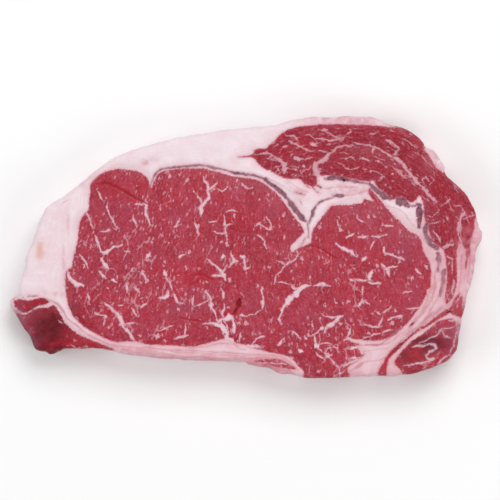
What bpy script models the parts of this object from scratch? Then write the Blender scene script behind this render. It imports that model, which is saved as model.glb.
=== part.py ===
"""Raw ribeye steak: one solid, lying flat with its cut face up.

The steak is a slab of several muscles held together by fat. Its rim is a loft of
rings that follow the outline, its underside is flat, and its cut face is a fine
triangle mesh whose height is a formula: each muscle swells a little, the seams
between muscles are shallow grooves, and the thin tail at the lower left hangs down.

Units: sizes and points are in millimetres and become metres through MM. Seen from
above, X runs along the steak, Y runs up towards the fat cap, and Z is the thickness.
The origin is the middle of the underside.
"""
import bmesh
import bpy
import numpy as np
from mathutils import Vector
from mathutils.geometry import delaunay_2d_cdt

MM = 0.001

# Driving dimensions
LENGTH = 213.4
WIDTH = 118.4
THICKNESS = 22.0

# Mesh fineness
RIM_STEP = 2.7
SEAM_STEP = 2.4
FACE_STEP = 3.0
SMALLEST_GAP = 0.6  # share of a step that two points keep between them
CURVE_SAMPLES = 24  # points worked out between two knots of a curve

# Rim: how far each ring lies inside the outline, and its share of the height there.
# The rings' depth varies in waves, which drift along the rim from one ring to the next.
RIM_PROFILE = [(3.4, 0.0), (1.2, 0.05), (0.2, 0.27), (0.0, 0.6), (0.7, 0.88), (2.1, 0.975), (4.0, 1.0)]
TIGHTEST_RADIUS = 5.0
RIM_WAVE = 0.5
RIM_WAVES_ROUND = 23
RIM_WAVE_DRIFT = 5.0

# Relief of the cut face
SEAM_DEPTH = 0.9
SEAM_WIDTH = 2.1
MUSCLE_SWELL = 0.7
MUSCLE_SPREAD = 8.0
TAIL_DROP = 5.5
TAIL_REACH = 17.0
HOLLOW_DEPTH = 1.8
TEAR_DEPTH = 1.6
TEAR_WIDTH = 1.3
LONG_WAVE = 0.35
LONG_WAVE_REACH = (17.0, 13.0)
TEAR_STEP = 0.5

# The tail folds down about this line, towards the lower left
TAIL_LINE_POINT = (-104.0, -10.0)
TAIL_LINE_NORMAL = (-0.66, -0.75)

# The small muscle at the lower right has shrunk into a hollow
HOLLOW_CENTRE = (83.0, -44.0)
HOLLOW_RADII = (12.0, 8.0)

# Outline, clockwise from the tip of the tail
OUTLINE = [
    (-106.6, -23.8), (-102.2, -19.0), (-99.2, -6.5), (-97.4, 0.2), (-92.9, 13.0), (-89.9, 19.0),
    (-82.0, 24.6), (-70.7, 33.6), (-61.7, 40.4), (-50.5, 45.4), (-38.5, 49.0), (-23.5, 52.1),
    (-10.0, 54.4), (1.3, 55.7), (12.5, 56.7), (20.8, 58.9), (30.5, 60.3), (44.8, 60.6),
    (57.5, 60.2), (64.3, 57.6), (73.2, 54.1), (80.4, 49.4), (84.9, 45.2), (89.6, 38.5),
    (90.9, 33.6), (98.0, 26.9), (103.2, 19.0), (106.8, 8.1), (104.0, -0.5), (102.9, -9.5),
    (99.9, -20.8), (97.4, -30.5), (96.1, -40.3), (92.8, -48.2), (86.0, -52.3), (76.2, -55.9),
    (65.8, -57.3), (52.3, -57.2), (40.3, -57.8), (25.7, -57.7), (13.3, -54.9), (-0.2, -50.8),
    (-16.0, -50.0), (-31.0, -49.3), (-50.5, -47.6), (-65.5, -44.6), (-79.0, -44.6), (-86.9, -47.4),
    (-95.1, -43.3), (-101.9, -32.8),
]

# Edge of the eye muscle, whose two lobes meet below the notch of fat
EYE_EDGE = [
    (-70.0, 29.5), (-65.5, 34.4), (-57.2, 36.8), (-48.2, 35.5), (-42.6, 28.7), (-40.0, 34.0),
    (-34.0, 36.5), (-18.2, 37.0), (-1.0, 32.9), (9.5, 29.5), (17.8, 21.2), (26.8, 8.5),
    (20.4, 1.0), (29.4, 4.0), (32.8, 13.0), (38.0, 20.1), (47.0, 20.5), (56.0, 25.7),
    (65.8, 16.7), (77.0, 7.0), (81.5, -2.8), (83.4, -16.3), (77.8, -26.8), (69.5, -36.2),
    (58.3, -40.9), (46.3, -39.5), (51.9, -47.8), (45.9, -53.8), (32.0, -55.5), (23.8, -52.3),
    (14.0, -46.7), (-1.0, -42.5), (-10.0, -40.3), (-25.0, -43.7), (-44.5, -42.5), (-62.5, -40.3),
    (-75.3, -32.4), (-80.9, -20.0), (-80.1, -8.8), (-76.7, 0.2), (-74.5, 13.7), (-70.7, 20.0),
]

# Seams that run from one side of the steak into it
CAP_SEAM = [
    (-2.5, 42.3), (5.4, 39.5), (12.5, 35.4), (23.8, 32.4), (31.3, 29.4), (40.3, 32.6), (47.0, 31.5),
    (55.3, 30.4), (65.8, 22.5), (74.0, 21.4), (80.4, 14.6), (85.3, 2.6), (89.8, -1.9), (90.9, -13.1),
    (89.8, -20.6), (91.0, -27.5),
]
CAP_STRAND = [
    (35.0, 30.1), (32.0, 34.6), (33.5, 40.2), (41.0, 46.0), (49.6, 47.6), (59.0, 46.0), (67.3, 42.4),
    (74.0, 35.6), (80.0, 28.1), (85.3, 22.9),
]
NOTCH_SEAM = [(12.5, 29.1), (18.9, 24.6), (27.9, 13.2), (31.6, 19.7), (40.3, 24.2)]
TAIL_SEAM = [(-100.0, -25.7), (-86.5, -24.0), (-82.0, -30.0), (-76.0, -36.5), (-68.0, -40.5)]
CORNER_SEAM = [(62.0, -52.0), (65.8, -46.3), (76.3, -38.0), (91.3, -29.0)]

# A short tear in the eye
TEAR = [(-3.6, -23.0), (-5.5, -28.3)]

MEAT_COLOUR = (0.41, 0.065, 0.085, 1.0)
MEAT_ROUGHNESS = 0.42


def smooth_curve(points, step, closed):
    """Catmull-Rom curve through the points, resampled at equal steps along its length."""
    knots = np.asarray(points, dtype=float)
    if closed:
        padded = np.vstack([knots[-1:], knots, knots[:2]])
    else:
        padded = np.vstack([2 * knots[0] - knots[1], knots, 2 * knots[-1] - knots[-2]])
    t = np.linspace(0.0, 1.0, CURVE_SAMPLES, endpoint=False)[None, :, None]
    before, start, end, after = (padded[i:len(padded) - 3 + i, None, :] for i in range(4))
    curve = 0.5 * (2 * start + (end - before) * t
                   + (2 * before - 5 * start + 4 * end - after) * t ** 2
                   + (3 * start - before - 3 * end + after) * t ** 3)
    curve = np.vstack([curve.reshape(-1, 2), padded[-2]])
    travelled = np.concatenate([[0.0], np.cumsum(np.linalg.norm(np.diff(curve, axis=0), axis=1))])
    count = max(2, int(round(travelled[-1] / step)))
    stations = np.linspace(0.0, travelled[-1], count, endpoint=not closed)
    return np.column_stack([np.interp(stations, travelled, curve[:, axis]) for axis in range(2)])


def distance_to(points, line):
    """Distance from each point to the nearest sample of a finely sampled line."""
    offsets = points[:, None, :] - line[None, :, :]
    return np.sqrt((offsets ** 2).sum(axis=2)).min(axis=1)


def fit_to_size(outline):
    """The centre of the outline's box, and the scale that gives it the driving dimensions."""
    low, high = outline.min(axis=0), outline.max(axis=0)
    return (low + high) / 2, np.array([LENGTH, WIDTH]) / (high - low)


def rim_rings(outline):
    """One ring of points for each step of the rim profile, moved in along the outline's normals.

    Where the outline bends tightly the ring moves in less, so that it doesn't fold over.
    """
    ahead, behind = np.roll(outline, -1, axis=0), np.roll(outline, 1, axis=0)
    along = ahead - behind
    along /= np.linalg.norm(along, axis=1)[:, None]
    inward = np.column_stack([-along[:, 1], along[:, 0]])
    bend = np.linalg.norm(ahead - 2 * outline + behind, axis=1) / RIM_STEP ** 2
    bend = np.maximum.reduce([bend, np.roll(bend, 1), np.roll(bend, -1)])
    room = 1.0 / np.maximum(1.0, bend * TIGHTEST_RADIUS)
    turn = np.linspace(0.0, 2 * np.pi, len(outline), endpoint=False)
    rings = []
    for inset, share in RIM_PROFILE:
        wave = RIM_WAVE * np.sin(RIM_WAVES_ROUND * turn + RIM_WAVE_DRIFT * share) * np.sin(np.pi * share)
        depth = room * (inset + np.abs(wave) * (inset > 0.0))
        rings.append(outline + inward * depth[:, None])
    return rings


def face_height(points, seams, tear):
    """Height of the cut face above the underside.

    Muscles rise away from the seams, the seams and the tear are grooves, the tail falls
    away from its line, and one small muscle lies in an oval hollow.
    """
    x, y = points[:, 0], points[:, 1]
    seam_distance = distance_to(points, seams)
    height = THICKNESS - MUSCLE_SWELL * np.exp(-(seam_distance / MUSCLE_SPREAD) ** 2)
    height -= SEAM_DEPTH * np.exp(-(seam_distance / SEAM_WIDTH) ** 2)
    height -= TEAR_DEPTH * np.exp(-(distance_to(points, tear) / TEAR_WIDTH) ** 2)
    past_line = (points - TAIL_LINE_POINT) @ np.array(TAIL_LINE_NORMAL) / TAIL_REACH
    fall = np.clip(past_line, 0.0, 1.0)
    height -= TAIL_DROP * fall * fall * (3.0 - 2.0 * fall)
    oval = ((points - HOLLOW_CENTRE) / HOLLOW_RADII) ** 2
    height -= HOLLOW_DEPTH * np.exp(-oval.sum(axis=1))
    height += LONG_WAVE * (np.sin(x / LONG_WAVE_REACH[0]) * np.cos(y / LONG_WAVE_REACH[1]) - 1.0)
    return height


def inside(points, edge):
    """True for each point inside a closed edge, by counting the crossings to its right."""
    x, y = points[:, :1], points[:, 1:]
    ax, ay = edge[:, 0], edge[:, 1]
    bx, by = np.roll(ax, -1), np.roll(ay, -1)
    spans = (ay > y) != (by > y)
    rise = np.where(by == ay, 1.0, by - ay)
    crossing = ax + (y - ay) * (bx - ax) / rise
    return (spans & (x < crossing)).sum(axis=1) % 2 == 1


def face_points(edge, seams):
    """Points inside the edge: those on the seams, then a triangular grid clear of them."""
    low, high = edge.min(axis=0), edge.max(axis=0)
    row_step = FACE_STEP * np.sqrt(0.75)
    columns = np.arange(low[0], high[0], FACE_STEP)
    rows = np.arange(low[1], high[1], row_step)
    x, y = np.meshgrid(columns, rows)
    x[1::2] += FACE_STEP / 2
    grid = np.column_stack([x.ravel(), y.ravel()])
    clear = SMALLEST_GAP * FACE_STEP
    seams = seams[inside(seams, edge) & (distance_to(seams, edge) > clear)]
    kept = [seams[0]]
    for point in seams[1:]:
        if np.linalg.norm(np.array(kept) - point, axis=1).min() > SMALLEST_GAP * SEAM_STEP:
            kept.append(point)
    seams = np.array(kept)
    grid = grid[inside(grid, edge) & (distance_to(grid, edge) > clear)]
    grid = grid[distance_to(grid, seams) > clear]
    return np.vstack([seams, grid])


def triangulate(edge, inner_points):
    """Delaunay triangles over the edge and the points in it, as indices into both stacked."""
    points = np.vstack([edge, inner_points])
    vectors = [Vector(point) for point in points]
    result = delaunay_2d_cdt(vectors, [], [list(range(len(edge)))], 1, 1e-6)
    faces, origins = result[2], result[3]
    return [[origins[corner][0] for corner in face] for face in faces]


def steak_mesh():
    """Vertices and faces of the steak: rim rings, then the cut face, then the flat underside."""
    outline = smooth_curve(OUTLINE[::-1], RIM_STEP, closed=True)
    centre, scale = fit_to_size(outline)
    seam_lines = [smooth_curve(EYE_EDGE, SEAM_STEP, closed=True)]
    for line in (CAP_SEAM, CAP_STRAND, NOTCH_SEAM, TAIL_SEAM, CORNER_SEAM):
        seam_lines.append(smooth_curve(line, SEAM_STEP, closed=False))
    seams = np.vstack(seam_lines)
    tear = smooth_curve(TEAR, TEAR_STEP, closed=False)

    rings = rim_rings(outline)
    per_ring = len(outline)
    corners = []
    for ring, (_, share) in zip(rings, RIM_PROFILE):
        corners.append(np.column_stack([ring, share * face_height(ring, seams, tear)]))
    inner = face_points(rings[-1], np.vstack([seams, tear]))
    corners.append(np.column_stack([inner, face_height(inner, seams, tear)]))
    vertices = np.vstack(corners)
    vertices[:, :2] = (vertices[:, :2] - centre) * scale

    here = np.arange(per_ring)
    following = np.roll(here, -1)
    faces = []
    for level in range(len(rings) - 1):
        low, high = level * per_ring, (level + 1) * per_ring
        quads = np.column_stack([low + here, low + following, high + following, high + here])
        faces.extend(quads.tolist())
    top = (len(rings) - 1) * per_ring
    faces.extend([[top + corner for corner in face] for face in triangulate(rings[-1], inner)])
    faces.append(here[::-1].tolist())
    return vertices * MM, faces


def meat_material():
    """Moist red meat."""
    material = bpy.data.materials.new("meat")
    material.use_nodes = True
    shader = material.node_tree.nodes["Principled BSDF"]
    shader.inputs["Base Color"].default_value = MEAT_COLOUR
    shader.inputs["Roughness"].default_value = MEAT_ROUGHNESS
    shader.inputs["Metallic"].default_value = 0.0
    return material


def build_steak():
    """The steak as one object in its own collection."""
    vertices, faces = steak_mesh()
    mesh = bpy.data.meshes.new("steak")
    mesh.from_pydata(vertices.tolist(), [], faces)
    shaper = bmesh.new()
    shaper.from_mesh(mesh)
    bmesh.ops.triangulate(shaper, faces=[face for face in shaper.faces if len(face.verts) > 3])
    bmesh.ops.recalc_face_normals(shaper, faces=shaper.faces)
    shaper.to_mesh(mesh)
    shaper.free()
    mesh.shade_smooth()
    mesh.materials.append(meat_material())
    steak = bpy.data.objects.new("steak", mesh)
    collection = bpy.data.collections.new("ribeye_steak")
    bpy.context.scene.collection.children.link(collection)
    collection.objects.link(steak)
    return steak


for leftover in list(bpy.data.objects):
    bpy.data.objects.remove(leftover)

build_steak()
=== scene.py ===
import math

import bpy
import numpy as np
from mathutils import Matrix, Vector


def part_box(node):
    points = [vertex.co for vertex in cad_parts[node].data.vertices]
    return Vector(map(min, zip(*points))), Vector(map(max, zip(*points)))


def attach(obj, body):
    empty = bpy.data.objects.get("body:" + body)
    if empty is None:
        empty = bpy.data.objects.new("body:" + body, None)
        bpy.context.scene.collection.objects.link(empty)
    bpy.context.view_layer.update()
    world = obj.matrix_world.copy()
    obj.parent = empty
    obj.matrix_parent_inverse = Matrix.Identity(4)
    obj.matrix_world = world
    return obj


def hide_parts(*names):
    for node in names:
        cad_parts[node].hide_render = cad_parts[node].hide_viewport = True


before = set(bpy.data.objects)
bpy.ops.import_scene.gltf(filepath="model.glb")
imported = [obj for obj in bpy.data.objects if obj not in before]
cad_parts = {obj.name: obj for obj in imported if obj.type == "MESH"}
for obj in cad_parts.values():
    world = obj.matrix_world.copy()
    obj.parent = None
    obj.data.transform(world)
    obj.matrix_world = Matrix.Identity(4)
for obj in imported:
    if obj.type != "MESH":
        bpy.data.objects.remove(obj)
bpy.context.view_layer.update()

# Looks of the raw ribeye steak: one closed piece of meat over the solid.
#
# The piece is a fine grid over the cut face, rings down the rim and a coarser grid
# underneath. Each vertex stores how far it lies from the edges of the muscles, from the
# strands of fat and from the silverskin, and the material turns those distances into
# lean, fat and skin with ragged edges. Points are in millimetres, X along the steak and
# Y towards the fat cap, and are fitted to the solid's box.

MM = 0.001

# Mesh fineness: cells along and across the cut face. Both divide by 4, because the
# rings halve twice on the way down to the underside.
CELLS_ALONG = 372
CELLS_ACROSS = 200
START_CORNER = (-90.0, -46.5)
RELAX_ROUNDS = 60

# Thickness before the waves of the cut face, and the radii of the upper and lower shoulder
THICKNESS = 22.0
TOP_RADIUS = 2.6
BASE_RADIUS = 2.8

# Rings in each stretch of the rim, the smoothing of its normals, and how fast tight bends shorten them
FINE_RINGS = 8
MIDDLE_RINGS = 10
COARSE_RINGS = 3
RIM_BLUR = 1.6
BEND_ROOM = 4.5

# Relief of the cut face, as in the solid
SEAM_DEPTH = 0.9
SEAM_WIDTH = 2.1
MUSCLE_SWELL = 0.7
MUSCLE_SPREAD = 8.0
TAIL_DROP = 5.5
TAIL_REACH = 17.0
TAIL_LINE_POINT = (-104.0, -10.0)
TAIL_LINE_NORMAL = (-0.66, -0.75)
LONG_WAVE = 0.35
LONG_WAVE_REACH = (17.0, 13.0)
# Hollow of the corner muscle: centre, radii and depth
HOLLOW = (83.0, -44.0, 12.0, 8.0, 1.8)

# Outline, clockwise from the tip of the tail
OUTLINE = [
    (-106.6, -23.8), (-104.9, -21.4), (-102.4, -20), (-102.1, -17), (-101.1, -13.3), (-99.2, -6.5),
    (-99.2, -3.5), (-97.4, 0.2), (-95.1, 6.2), (-92.9, 13), (-90.8, 16.7), (-89.9, 19), (-85.7, 22.3),
    (-82, 24.6), (-78.2, 27.6), (-74.9, 30.2), (-70.7, 33.6), (-66.2, 37.3), (-61.7, 40.4), (-56.5, 43),
    (-50.5, 45.4), (-43.7, 47.5), (-38.5, 49), (-30.2, 50.9), (-23.5, 52.1), (-17.5, 53.1), (-10, 54.4),
    (-4.7, 55), (1.3, 55.7), (8, 56.3), (12.5, 56.7), (16.3, 57.6), (20.8, 58.9), (25.3, 59.5),
    (30.5, 60.4), (38, 60.2), (44.8, 60.6), (52.3, 60.4), (57.5, 60.2), (61.6, 58.2), (65.4, 56.8),
    (69.5, 55.7), (73.2, 54.1), (77, 51.8), (79.9, 49.1), (81.3, 46.8), (84.9, 45.2), (87.1, 42.2),
    (89.6, 38.5), (90.1, 35.5), (91.2, 33.2), (94.3, 30.2), (98, 26.9), (101, 22.7), (103.2, 19),
    (104.4, 14.5), (105.5, 10.4), (106.8, 8.1), (106.2, 4), (104, -0.5), (103.6, -4.3), (102.9, -9.5),
    (101.4, -15.5), (99.9, -20.8), (98.6, -26), (97.4, -30.5), (97.1, -35), (96.1, -40.3), (95.2, -44.8),
    (92.8, -48.2), (90.1, -50.4), (86, -52.3), (81.5, -54.2), (76.2, -55.9), (71, -56.4), (65.8, -57.3),
    (59.8, -56.8), (52.3, -57.2), (40.3, -57.8), (29, -57.8), (25, -57.4), (20, -56), (15.5, -55.8),
    (11, -53.6), (6.5, -52.7), (1.3, -51.7), (-0.9, -50.7), (-10, -50.3), (-16, -50), (-23.5, -49.7),
    (-31, -49.3), (-38.5, -49.1), (-43, -48.5), (-50.5, -47.6), (-58, -46.1), (-65.5, -44.6), (-70, -44.2),
    (-74.5, -44.6), (-79, -44.5), (-81.9, -44.6), (-83.9, -45.8), (-84.9, -46), (-86, -46.8),
    (-87.6, -47.4), (-89, -47.3), (-90.2, -46.3), (-92.5, -46), (-94.7, -45.2), (-96.1, -43),
    (-97.4, -39.5), (-99.6, -36.5), (-101.9, -32.8), (-104, -29),
]

# Muscles, as closed edges. Where one reaches the rim it runs on past the outline.
EYE = [
    (-70, 29.5), (-68.5, 31.7), (-65.5, 34.4), (-61.7, 36.1), (-57.2, 36.8), (-52.7, 36.4), (-48.2, 35.5),
    (-45.2, 33.6), (-43.7, 31.4), (-42.6, 28.4), (-41.1, 31.4), (-40, 34), (-37.7, 35.6), (-34, 36.5),
    (-28.7, 37), (-23.5, 37.1), (-18.2, 37), (-15.2, 36.2), (-10.7, 34.9), (-6.2, 33.6), (-1, 32.9),
    (3.5, 32.3), (6.5, 31.2), (9.5, 29.3), (13.3, 26.3), (15.5, 24), (17.8, 21), (20, 18), (22.6, 14.5),
    (25, 11.5), (26.3, 8.5), (24, 5.7), (21.5, 3.2), (20.2, 1), (21.2, -0.7), (23.8, 1), (26.8, 2.1),
    (29.4, 4), (29.9, 7.7), (30.9, 10), (32.8, 13), (34.6, 15.2), (36.5, 17.5), (38.5, 19.9), (42.5, 20.5),
    (47, 20.6), (50.8, 21.2), (52.6, 21.6), (53.2, 23.2), (55.4, 22.8), (57.8, 22.2), (56.4, 24.4),
    (55.2, 26), (55.9, 27.8), (59, 25), (62, 21.2), (65.8, 16.7), (70.3, 12.2), (74, 8.5), (77, 7),
    (79.3, 4.4), (80, 0.2), (81.5, -2.8), (83, -5.8), (83.6, -10.3), (83.4, -16.3), (81.9, -17.8),
    (81.5, -20), (80, -23), (77.8, -26.8), (75.5, -29.8), (72.5, -33.5), (69.5, -36.2), (65.8, -38.8),
    (62, -40.4), (58.3, -40.9), (53.8, -40.7), (50, -40.3), (46.6, -39.7), (47.8, -41.8), (49.6, -43.3),
    (51.4, -45.5), (51.9, -47.8), (50.4, -50), (47.8, -51.5), (45.9, -53.8), (46.5, -61), (26.4, -61),
    (26.2, -55.2), (23.8, -52.3), (21.5, -49.7), (18.5, -47.8), (14, -46.7), (9.5, -45.9), (4.3, -44.4),
    (-1, -42.5), (-4.5, -42), (-10, -40.3), (-16, -41.8), (-20.5, -42.9), (-25, -43.7), (-31, -43.1),
    (-38.5, -42.9), (-44.5, -42.5), (-49, -41.4), (-53, -41.2), (-58, -41.4), (-62.5, -40.3), (-67, -38),
    (-71.5, -35.4), (-75.3, -32.4), (-78.2, -29), (-80.1, -24.5), (-80.9, -20), (-81.2, -15.5),
    (-81.1, -11), (-80.1, -8.8), (-78.4, -7.8), (-77.9, -4.3), (-76.7, 0.2), (-75.6, 5.5), (-75.2, 10),
    (-74.5, 13.7), (-72.6, 16.7), (-70.7, 18.4), (-70.7, 22), (-70.1, 25.7),
]
CAP = [
    (1.6, 42.6), (3.4, 43.8), (4.5, 45.6), (9.5, 46.4), (10.3, 47.5), (13.3, 49.7), (15.1, 52),
    (17.8, 53.8), (21.5, 55.3), (25.3, 56.1), (30.5, 56.6), (36.5, 57.1), (48.5, 56.9), (58.3, 56.6),
    (62.2, 56), (65.6, 55.5), (69.4, 54.9), (73, 53.4), (76.8, 51.1), (79.4, 48.6), (80.4, 46.2),
    (83, 42.2), (85.3, 38.5), (87.5, 36.2), (90.1, 34.7), (95, 34), (101, 28.5), (106, 20.5), (104.3, 17.8),
    (103.3, 14.5), (102.9, 10), (101.2, 4), (99.3, 0.5), (96.8, 3.2), (95.3, 0), (95, -5), (95.3, -12),
    (94.5, -18), (92.5, -22.4), (90.3, -24), (89.9, -20.6), (90.9, -13.1), (90.5, -6.4), (89.8, -1.9),
    (88.4, 1.1), (85.3, 2.8), (82.5, 8.6), (80.6, 14.6), (80.2, 20), (78.5, 24.6), (76.3, 22.4), (74, 21.9),
    (70, 23.6), (65.8, 23), (63.5, 25.1), (59.8, 28), (57.5, 31.4), (55.3, 31.2), (47, 32.2), (40.3, 33.3),
    (33.8, 33.6), (31.3, 29.2), (27.5, 29.8), (23.8, 32.2), (20, 32.2), (16.3, 33.1), (12.5, 35.2),
    (8, 37.3), (5.4, 39.5), (3.6, 41.6),
]
TAIL_TIP = [
    (-104.4, -22.8), (-101, -22.2), (-97.4, -22.7), (-94.5, -22), (-92.2, -21.4), (-90, -21.9),
    (-88.4, -23.5), (-90.6, -24.5), (-92.9, -24.9), (-95.6, -26.3), (-98.1, -27.7), (-100.5, -28.2),
    (-102.8, -26.8), (-104.2, -25),
]
TAIL = [
    (-99.4, -28.9), (-95.5, -27), (-92, -25.9), (-89.4, -25.9), (-86.5, -25), (-84.4, -27.2),
    (-82.4, -31.3), (-79.8, -34.5), (-76, -37.6), (-70, -40.4), (-64, -42.8), (-59.6, -45), (-66, -48),
    (-80, -49), (-88, -52), (-100, -46), (-107, -36), (-108, -28.5), (-105.6, -27), (-102.6, -28.9),
]
LOWER_STRIP = [
    (3.5, -50.2), (8, -49.3), (14, -49.3), (18.5, -50.8), (22.3, -53.8), (14, -52.8), (8.8, -51.7),
]
CORNER_MUSCLE = [
    (87.5, -31.8), (93.5, -31), (96, -33.5), (96.6, -39.5), (95.6, -46), (92, -52.5), (84.5, -56),
    (78.5, -59), (71.5, -56.8), (70.4, -54.6), (67.2, -51.4), (67.8, -49), (70.8, -45.2), (74.8, -41.2),
    (79.8, -37.8), (84.8, -33.7),
]
CORNER_STREAK = [
    (63.6, -60), (63.5, -55), (64.6, -49.6), (69, -44.8), (75.5, -38.4), (81.5, -34.8), (87, -31.2),
    (91.6, -28.4), (90.5, -26.8), (84.5, -31), (78.5, -35.6), (71.5, -40.5), (65.2, -45.8), (62, -50.6),
    (59.8, -55), (59.4, -60),
]
RIGHT_EDGE_MUSCLE = [
    (91.6, -26.8), (93.4, -24.6), (95.8, -22.6), (97.4, -20.4), (98, -22.6), (97.4, -25.6), (97.4, -28.4),
    (98.6, -31), (94.6, -29.6), (92.2, -28.4),
]
MUSCLES = [EYE, CAP, TAIL_TIP, TAIL, LOWER_STRIP, CORNER_MUSCLE, CORNER_STREAK, RIGHT_EDGE_MUSCLE]

# Seams that are grooves beside the muscles' own edges
WEDGE_SEAM = [(12.5, 29.1), (18.9, 24.6), (27.9, 13.2), (31.6, 19.7), (40.3, 24.2)]
CAP_SEAM = [
    (35, 30.1), (32, 34.6), (33.5, 40.2), (41, 46), (49.6, 47.6), (59, 46), (67.3, 42.4), (74, 35.6),
    (80, 28.1), (85.3, 22.9),
]

# Strands of fat in the lean: the width, then the points as x, y, x, y
EYE_STRANDS = [
    (1.7, -45.2, 22.6, -44.7, 16.7, -43.3, 11.9), (0.8, -49.9, 20.6, -45.4, 20.5),
    (1.3, -50.6, 16.2, -49.9, 13.5, -49.1, 10.5), (1, -62.5, 20.7, -60.6, 14.5, -58.2, 11.3),
    (0.9, -66.7, 26.2, -64.4, 22.6), (0.7, -71.6, 17, -70.2, 13, -69, 10),
    (1.5, -67.9, 6.6, -65.5, 1, -64.7, -0.9, -61.7, -0.5, -59.5, 1.7, -56.3, 2.1),
    (1.3, -65, 8.3, -62.9, 8.3, -61.4, 9.3), (2, -64.6, -4, -63.3, -6, -61.9, -7.6),
    (2.6, -44.6, -2.9, -43.6, -1.4), (1.5, -53.8, -0.6, -52.7, -0.3),
    (0.9, -74.3, -2, -72.4, -4.6, -71, -8), (2.2, -80.3, -9.6, -78.7, -13, -76.6, -15.1, -73.5, -16.1),
    (1.3, -65.7, -9.3, -63.4, -12.7), (2.4, -60.1, -13.6, -59, -13.9), (1.3, -62.7, -24, -58.6, -28),
    (2.2, -58.3, -28.2, -55.8, -32, -54.8, -35.2), (1.5, -54.9, -35, -50.3, -40.6),
    (1.1, -67.7, -28.2, -62.4, -29.5), (1, -62.9, -29.6, -63.8, -33.5), (2.5, -40.2, -38.6, -39, -39.1),
    (1.1, -18.8, 32.8, -17.2, 28.9, -16.9, 25.6), (2, -16.8, 26, -16.7, 23.4, -19, 20.8, -20.2, 19.2),
    (1.5, -20.2, 19.4, -20.4, 15.6), (1.1, -17, 27, -14.2, 29, -12.9, 30.4),
    (0.8, -21.5, 24.6, -19.4, 21.4), (0.8, -12.4, 27.8, -10.6, 26.9, -8.3, 28.9),
    (0.8, -2, 30.2, 0.2, 28, 2.6, 28.3), (0.9, -9.7, 15.4, -8.9, 10.7), (1.7, -9.1, 12.4, -8.8, 9),
    (0.9, -8.9, 9.2, -8.5, 2.6), (1.3, -14.2, 8, -13.2, 7.6), (0.7, -13.4, 7.5, -9, 7.3),
    (0.9, -8.9, 11, -6.8, 12.2), (1.3, -15.8, 12.6, -13.2, 13.1), (1, -22.5, 12.4, -21.6, 9.2, -22, 5.3),
    (1.2, -32.1, 10.9, -31.2, 11.6), (0.8, -31.2, 11.6, -29.9, 14.3),
    (0.9, -8.8, 17.4, -6.7, 18.2, -4.4, 17.3), (1, 4.8, 11.3, 6.7, 12.3),
    (0.8, 6.5, 12, 11.2, 9.8, 11, 13, 9.6, 15), (0.9, 6, 6.8, 9.7, 1.5), (1.3, -16.8, -4.6, -13, -7.3),
    (2, -13.4, -7, -10.4, -10.3, -9.5, -12.8), (1.5, -14.3, -11.2, -11, -11.4),
    (0.9, -10.2, -9.9, -8.3, -6.9), (1, -6.8, -1, -5.5, -4.7, -7.2, -7.2), (0.9, -5.4, -4.7, -3.2, -4.9),
    (2, -2.2, -2.6, -0.3, -2.9), (1.2, -0.3, -3, -0.2, -8.4, 1.5, -8), (1.8, -10.7, -3.6, -10.5, -2.2),
    (1.8, -29.5, -3.3, -28.2, -2.6), (1.8, -36.8, -9, -36, -12.2), (0.9, -36, -12.4, -33.4, -17.3),
    (1.5, -32.3, -19.4, -31.4, -22.4, -30.2, -24.2), (0.9, -30.4, -24, -28, -24.4),
    (1.3, -39.6, -21.6, -35.4, -21, -34.9, -18.8),
    (0.9, -23.6, -20.6, -23.5, -25.2, -21.2, -24.6, -17.7, -23.3), (1.3, -10.6, -17.4, -9.5, -21.4),
    (1.1, -18, -18.6, -15.3, -23), (2, -15.4, -22.6, -15.6, -25.6), (1.5, -15.4, -25.6, -13.6, -29.4),
    (1.2, 7.6, -17.4, 7.9, -20.6), (1.7, 7.8, -20.4, 8, -25.7), (2, -2.3, -29.9, -1.2, -29.4),
    (0.7, -1.2, -29.6, 3.8, -29.2), (0.7, 3.8, -29.4, 6.6, -27.2), (0.9, -27, -33.8, -27.9, -38.4),
    (1.2, -32.3, -40.2, -29, -39.4, -26.8, -38.8), (1, -38.8, -36, -36, -35.3, -33, -34.2),
    (1.3, -53.5, -33.4, -50.5, -33.2), (1.2, -50.6, -27, -48.6, -30), (1.2, -47.4, -26, -45, -24.4),
    (1.4, -57, -25, -55.6, -24.6), (1.1, -49.4, -16.8, -48, -19.2), (1.3, -53.2, -15.4, -53.6, -18.6),
    (1.1, -71.3, -20.3, -70, -22.4), (1.1, -46.4, -10.4, -45.2, -13.6), (1.2, -18.6, -32.7, -14, -32.9),
    (3.4, -15, -32.8, -11.4, -34.4, -8.8, -37.2, -8, -42.4), (2.8, -12.4, -32, -8.6, -30.9, -5.8, -30.3),
    (1.9, -5.6, -30.2, -5.3, -34, -5.4, -37.4), (1, -9.8, -32, -8.6, -34.4, -7.6, -36.6),
    (1.6, -13.2, -30.4, -12.6, -32.4), (1.2, -9.4, -30.8, -10.4, -27.8, -9.6, -24.8),
    (1, -3.2, -41.4, -2.6, -37.6), (2.2, -3.6, -43.6, 1, -43.8, 6, -43.6),
    (0.9, 3, -42.4, 5.6, -39.9, 8.3, -38.8), (2.4, -10, -41.6, -7.6, -40.2, -5, -41.8),
    (0.9, 24.4, -1, 21.5, -4.3, 17.8, -6.9), (0.7, 17.8, -6.9, 14.4, -11), (1, 14.4, -11, 12.7, -14.7),
    (0.7, 15.2, -14.3, 21.8, -15.3), (0.7, 14.2, -4.6, 17.6, -6.8),
    (1.8, 29.2, -16.2, 25.4, -17, 22.6, -17.6), (3.6, 25, -17.6, 21.4, -20.8),
    (3.2, 21.6, -20.6, 17.6, -24.2), (2, 17.8, -24, 16, -28.2), (1.1, 16.1, -27.8, 15, -30.6, 16.1, -33),
    (0.9, 21, -16, 22.2, -18), (1.3, 31.2, -16, 34, -15.2, 37.6, -16.1),
    (1.9, 41, 2.7, 44.8, 0.4, 49.8, -2.4),
]
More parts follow.
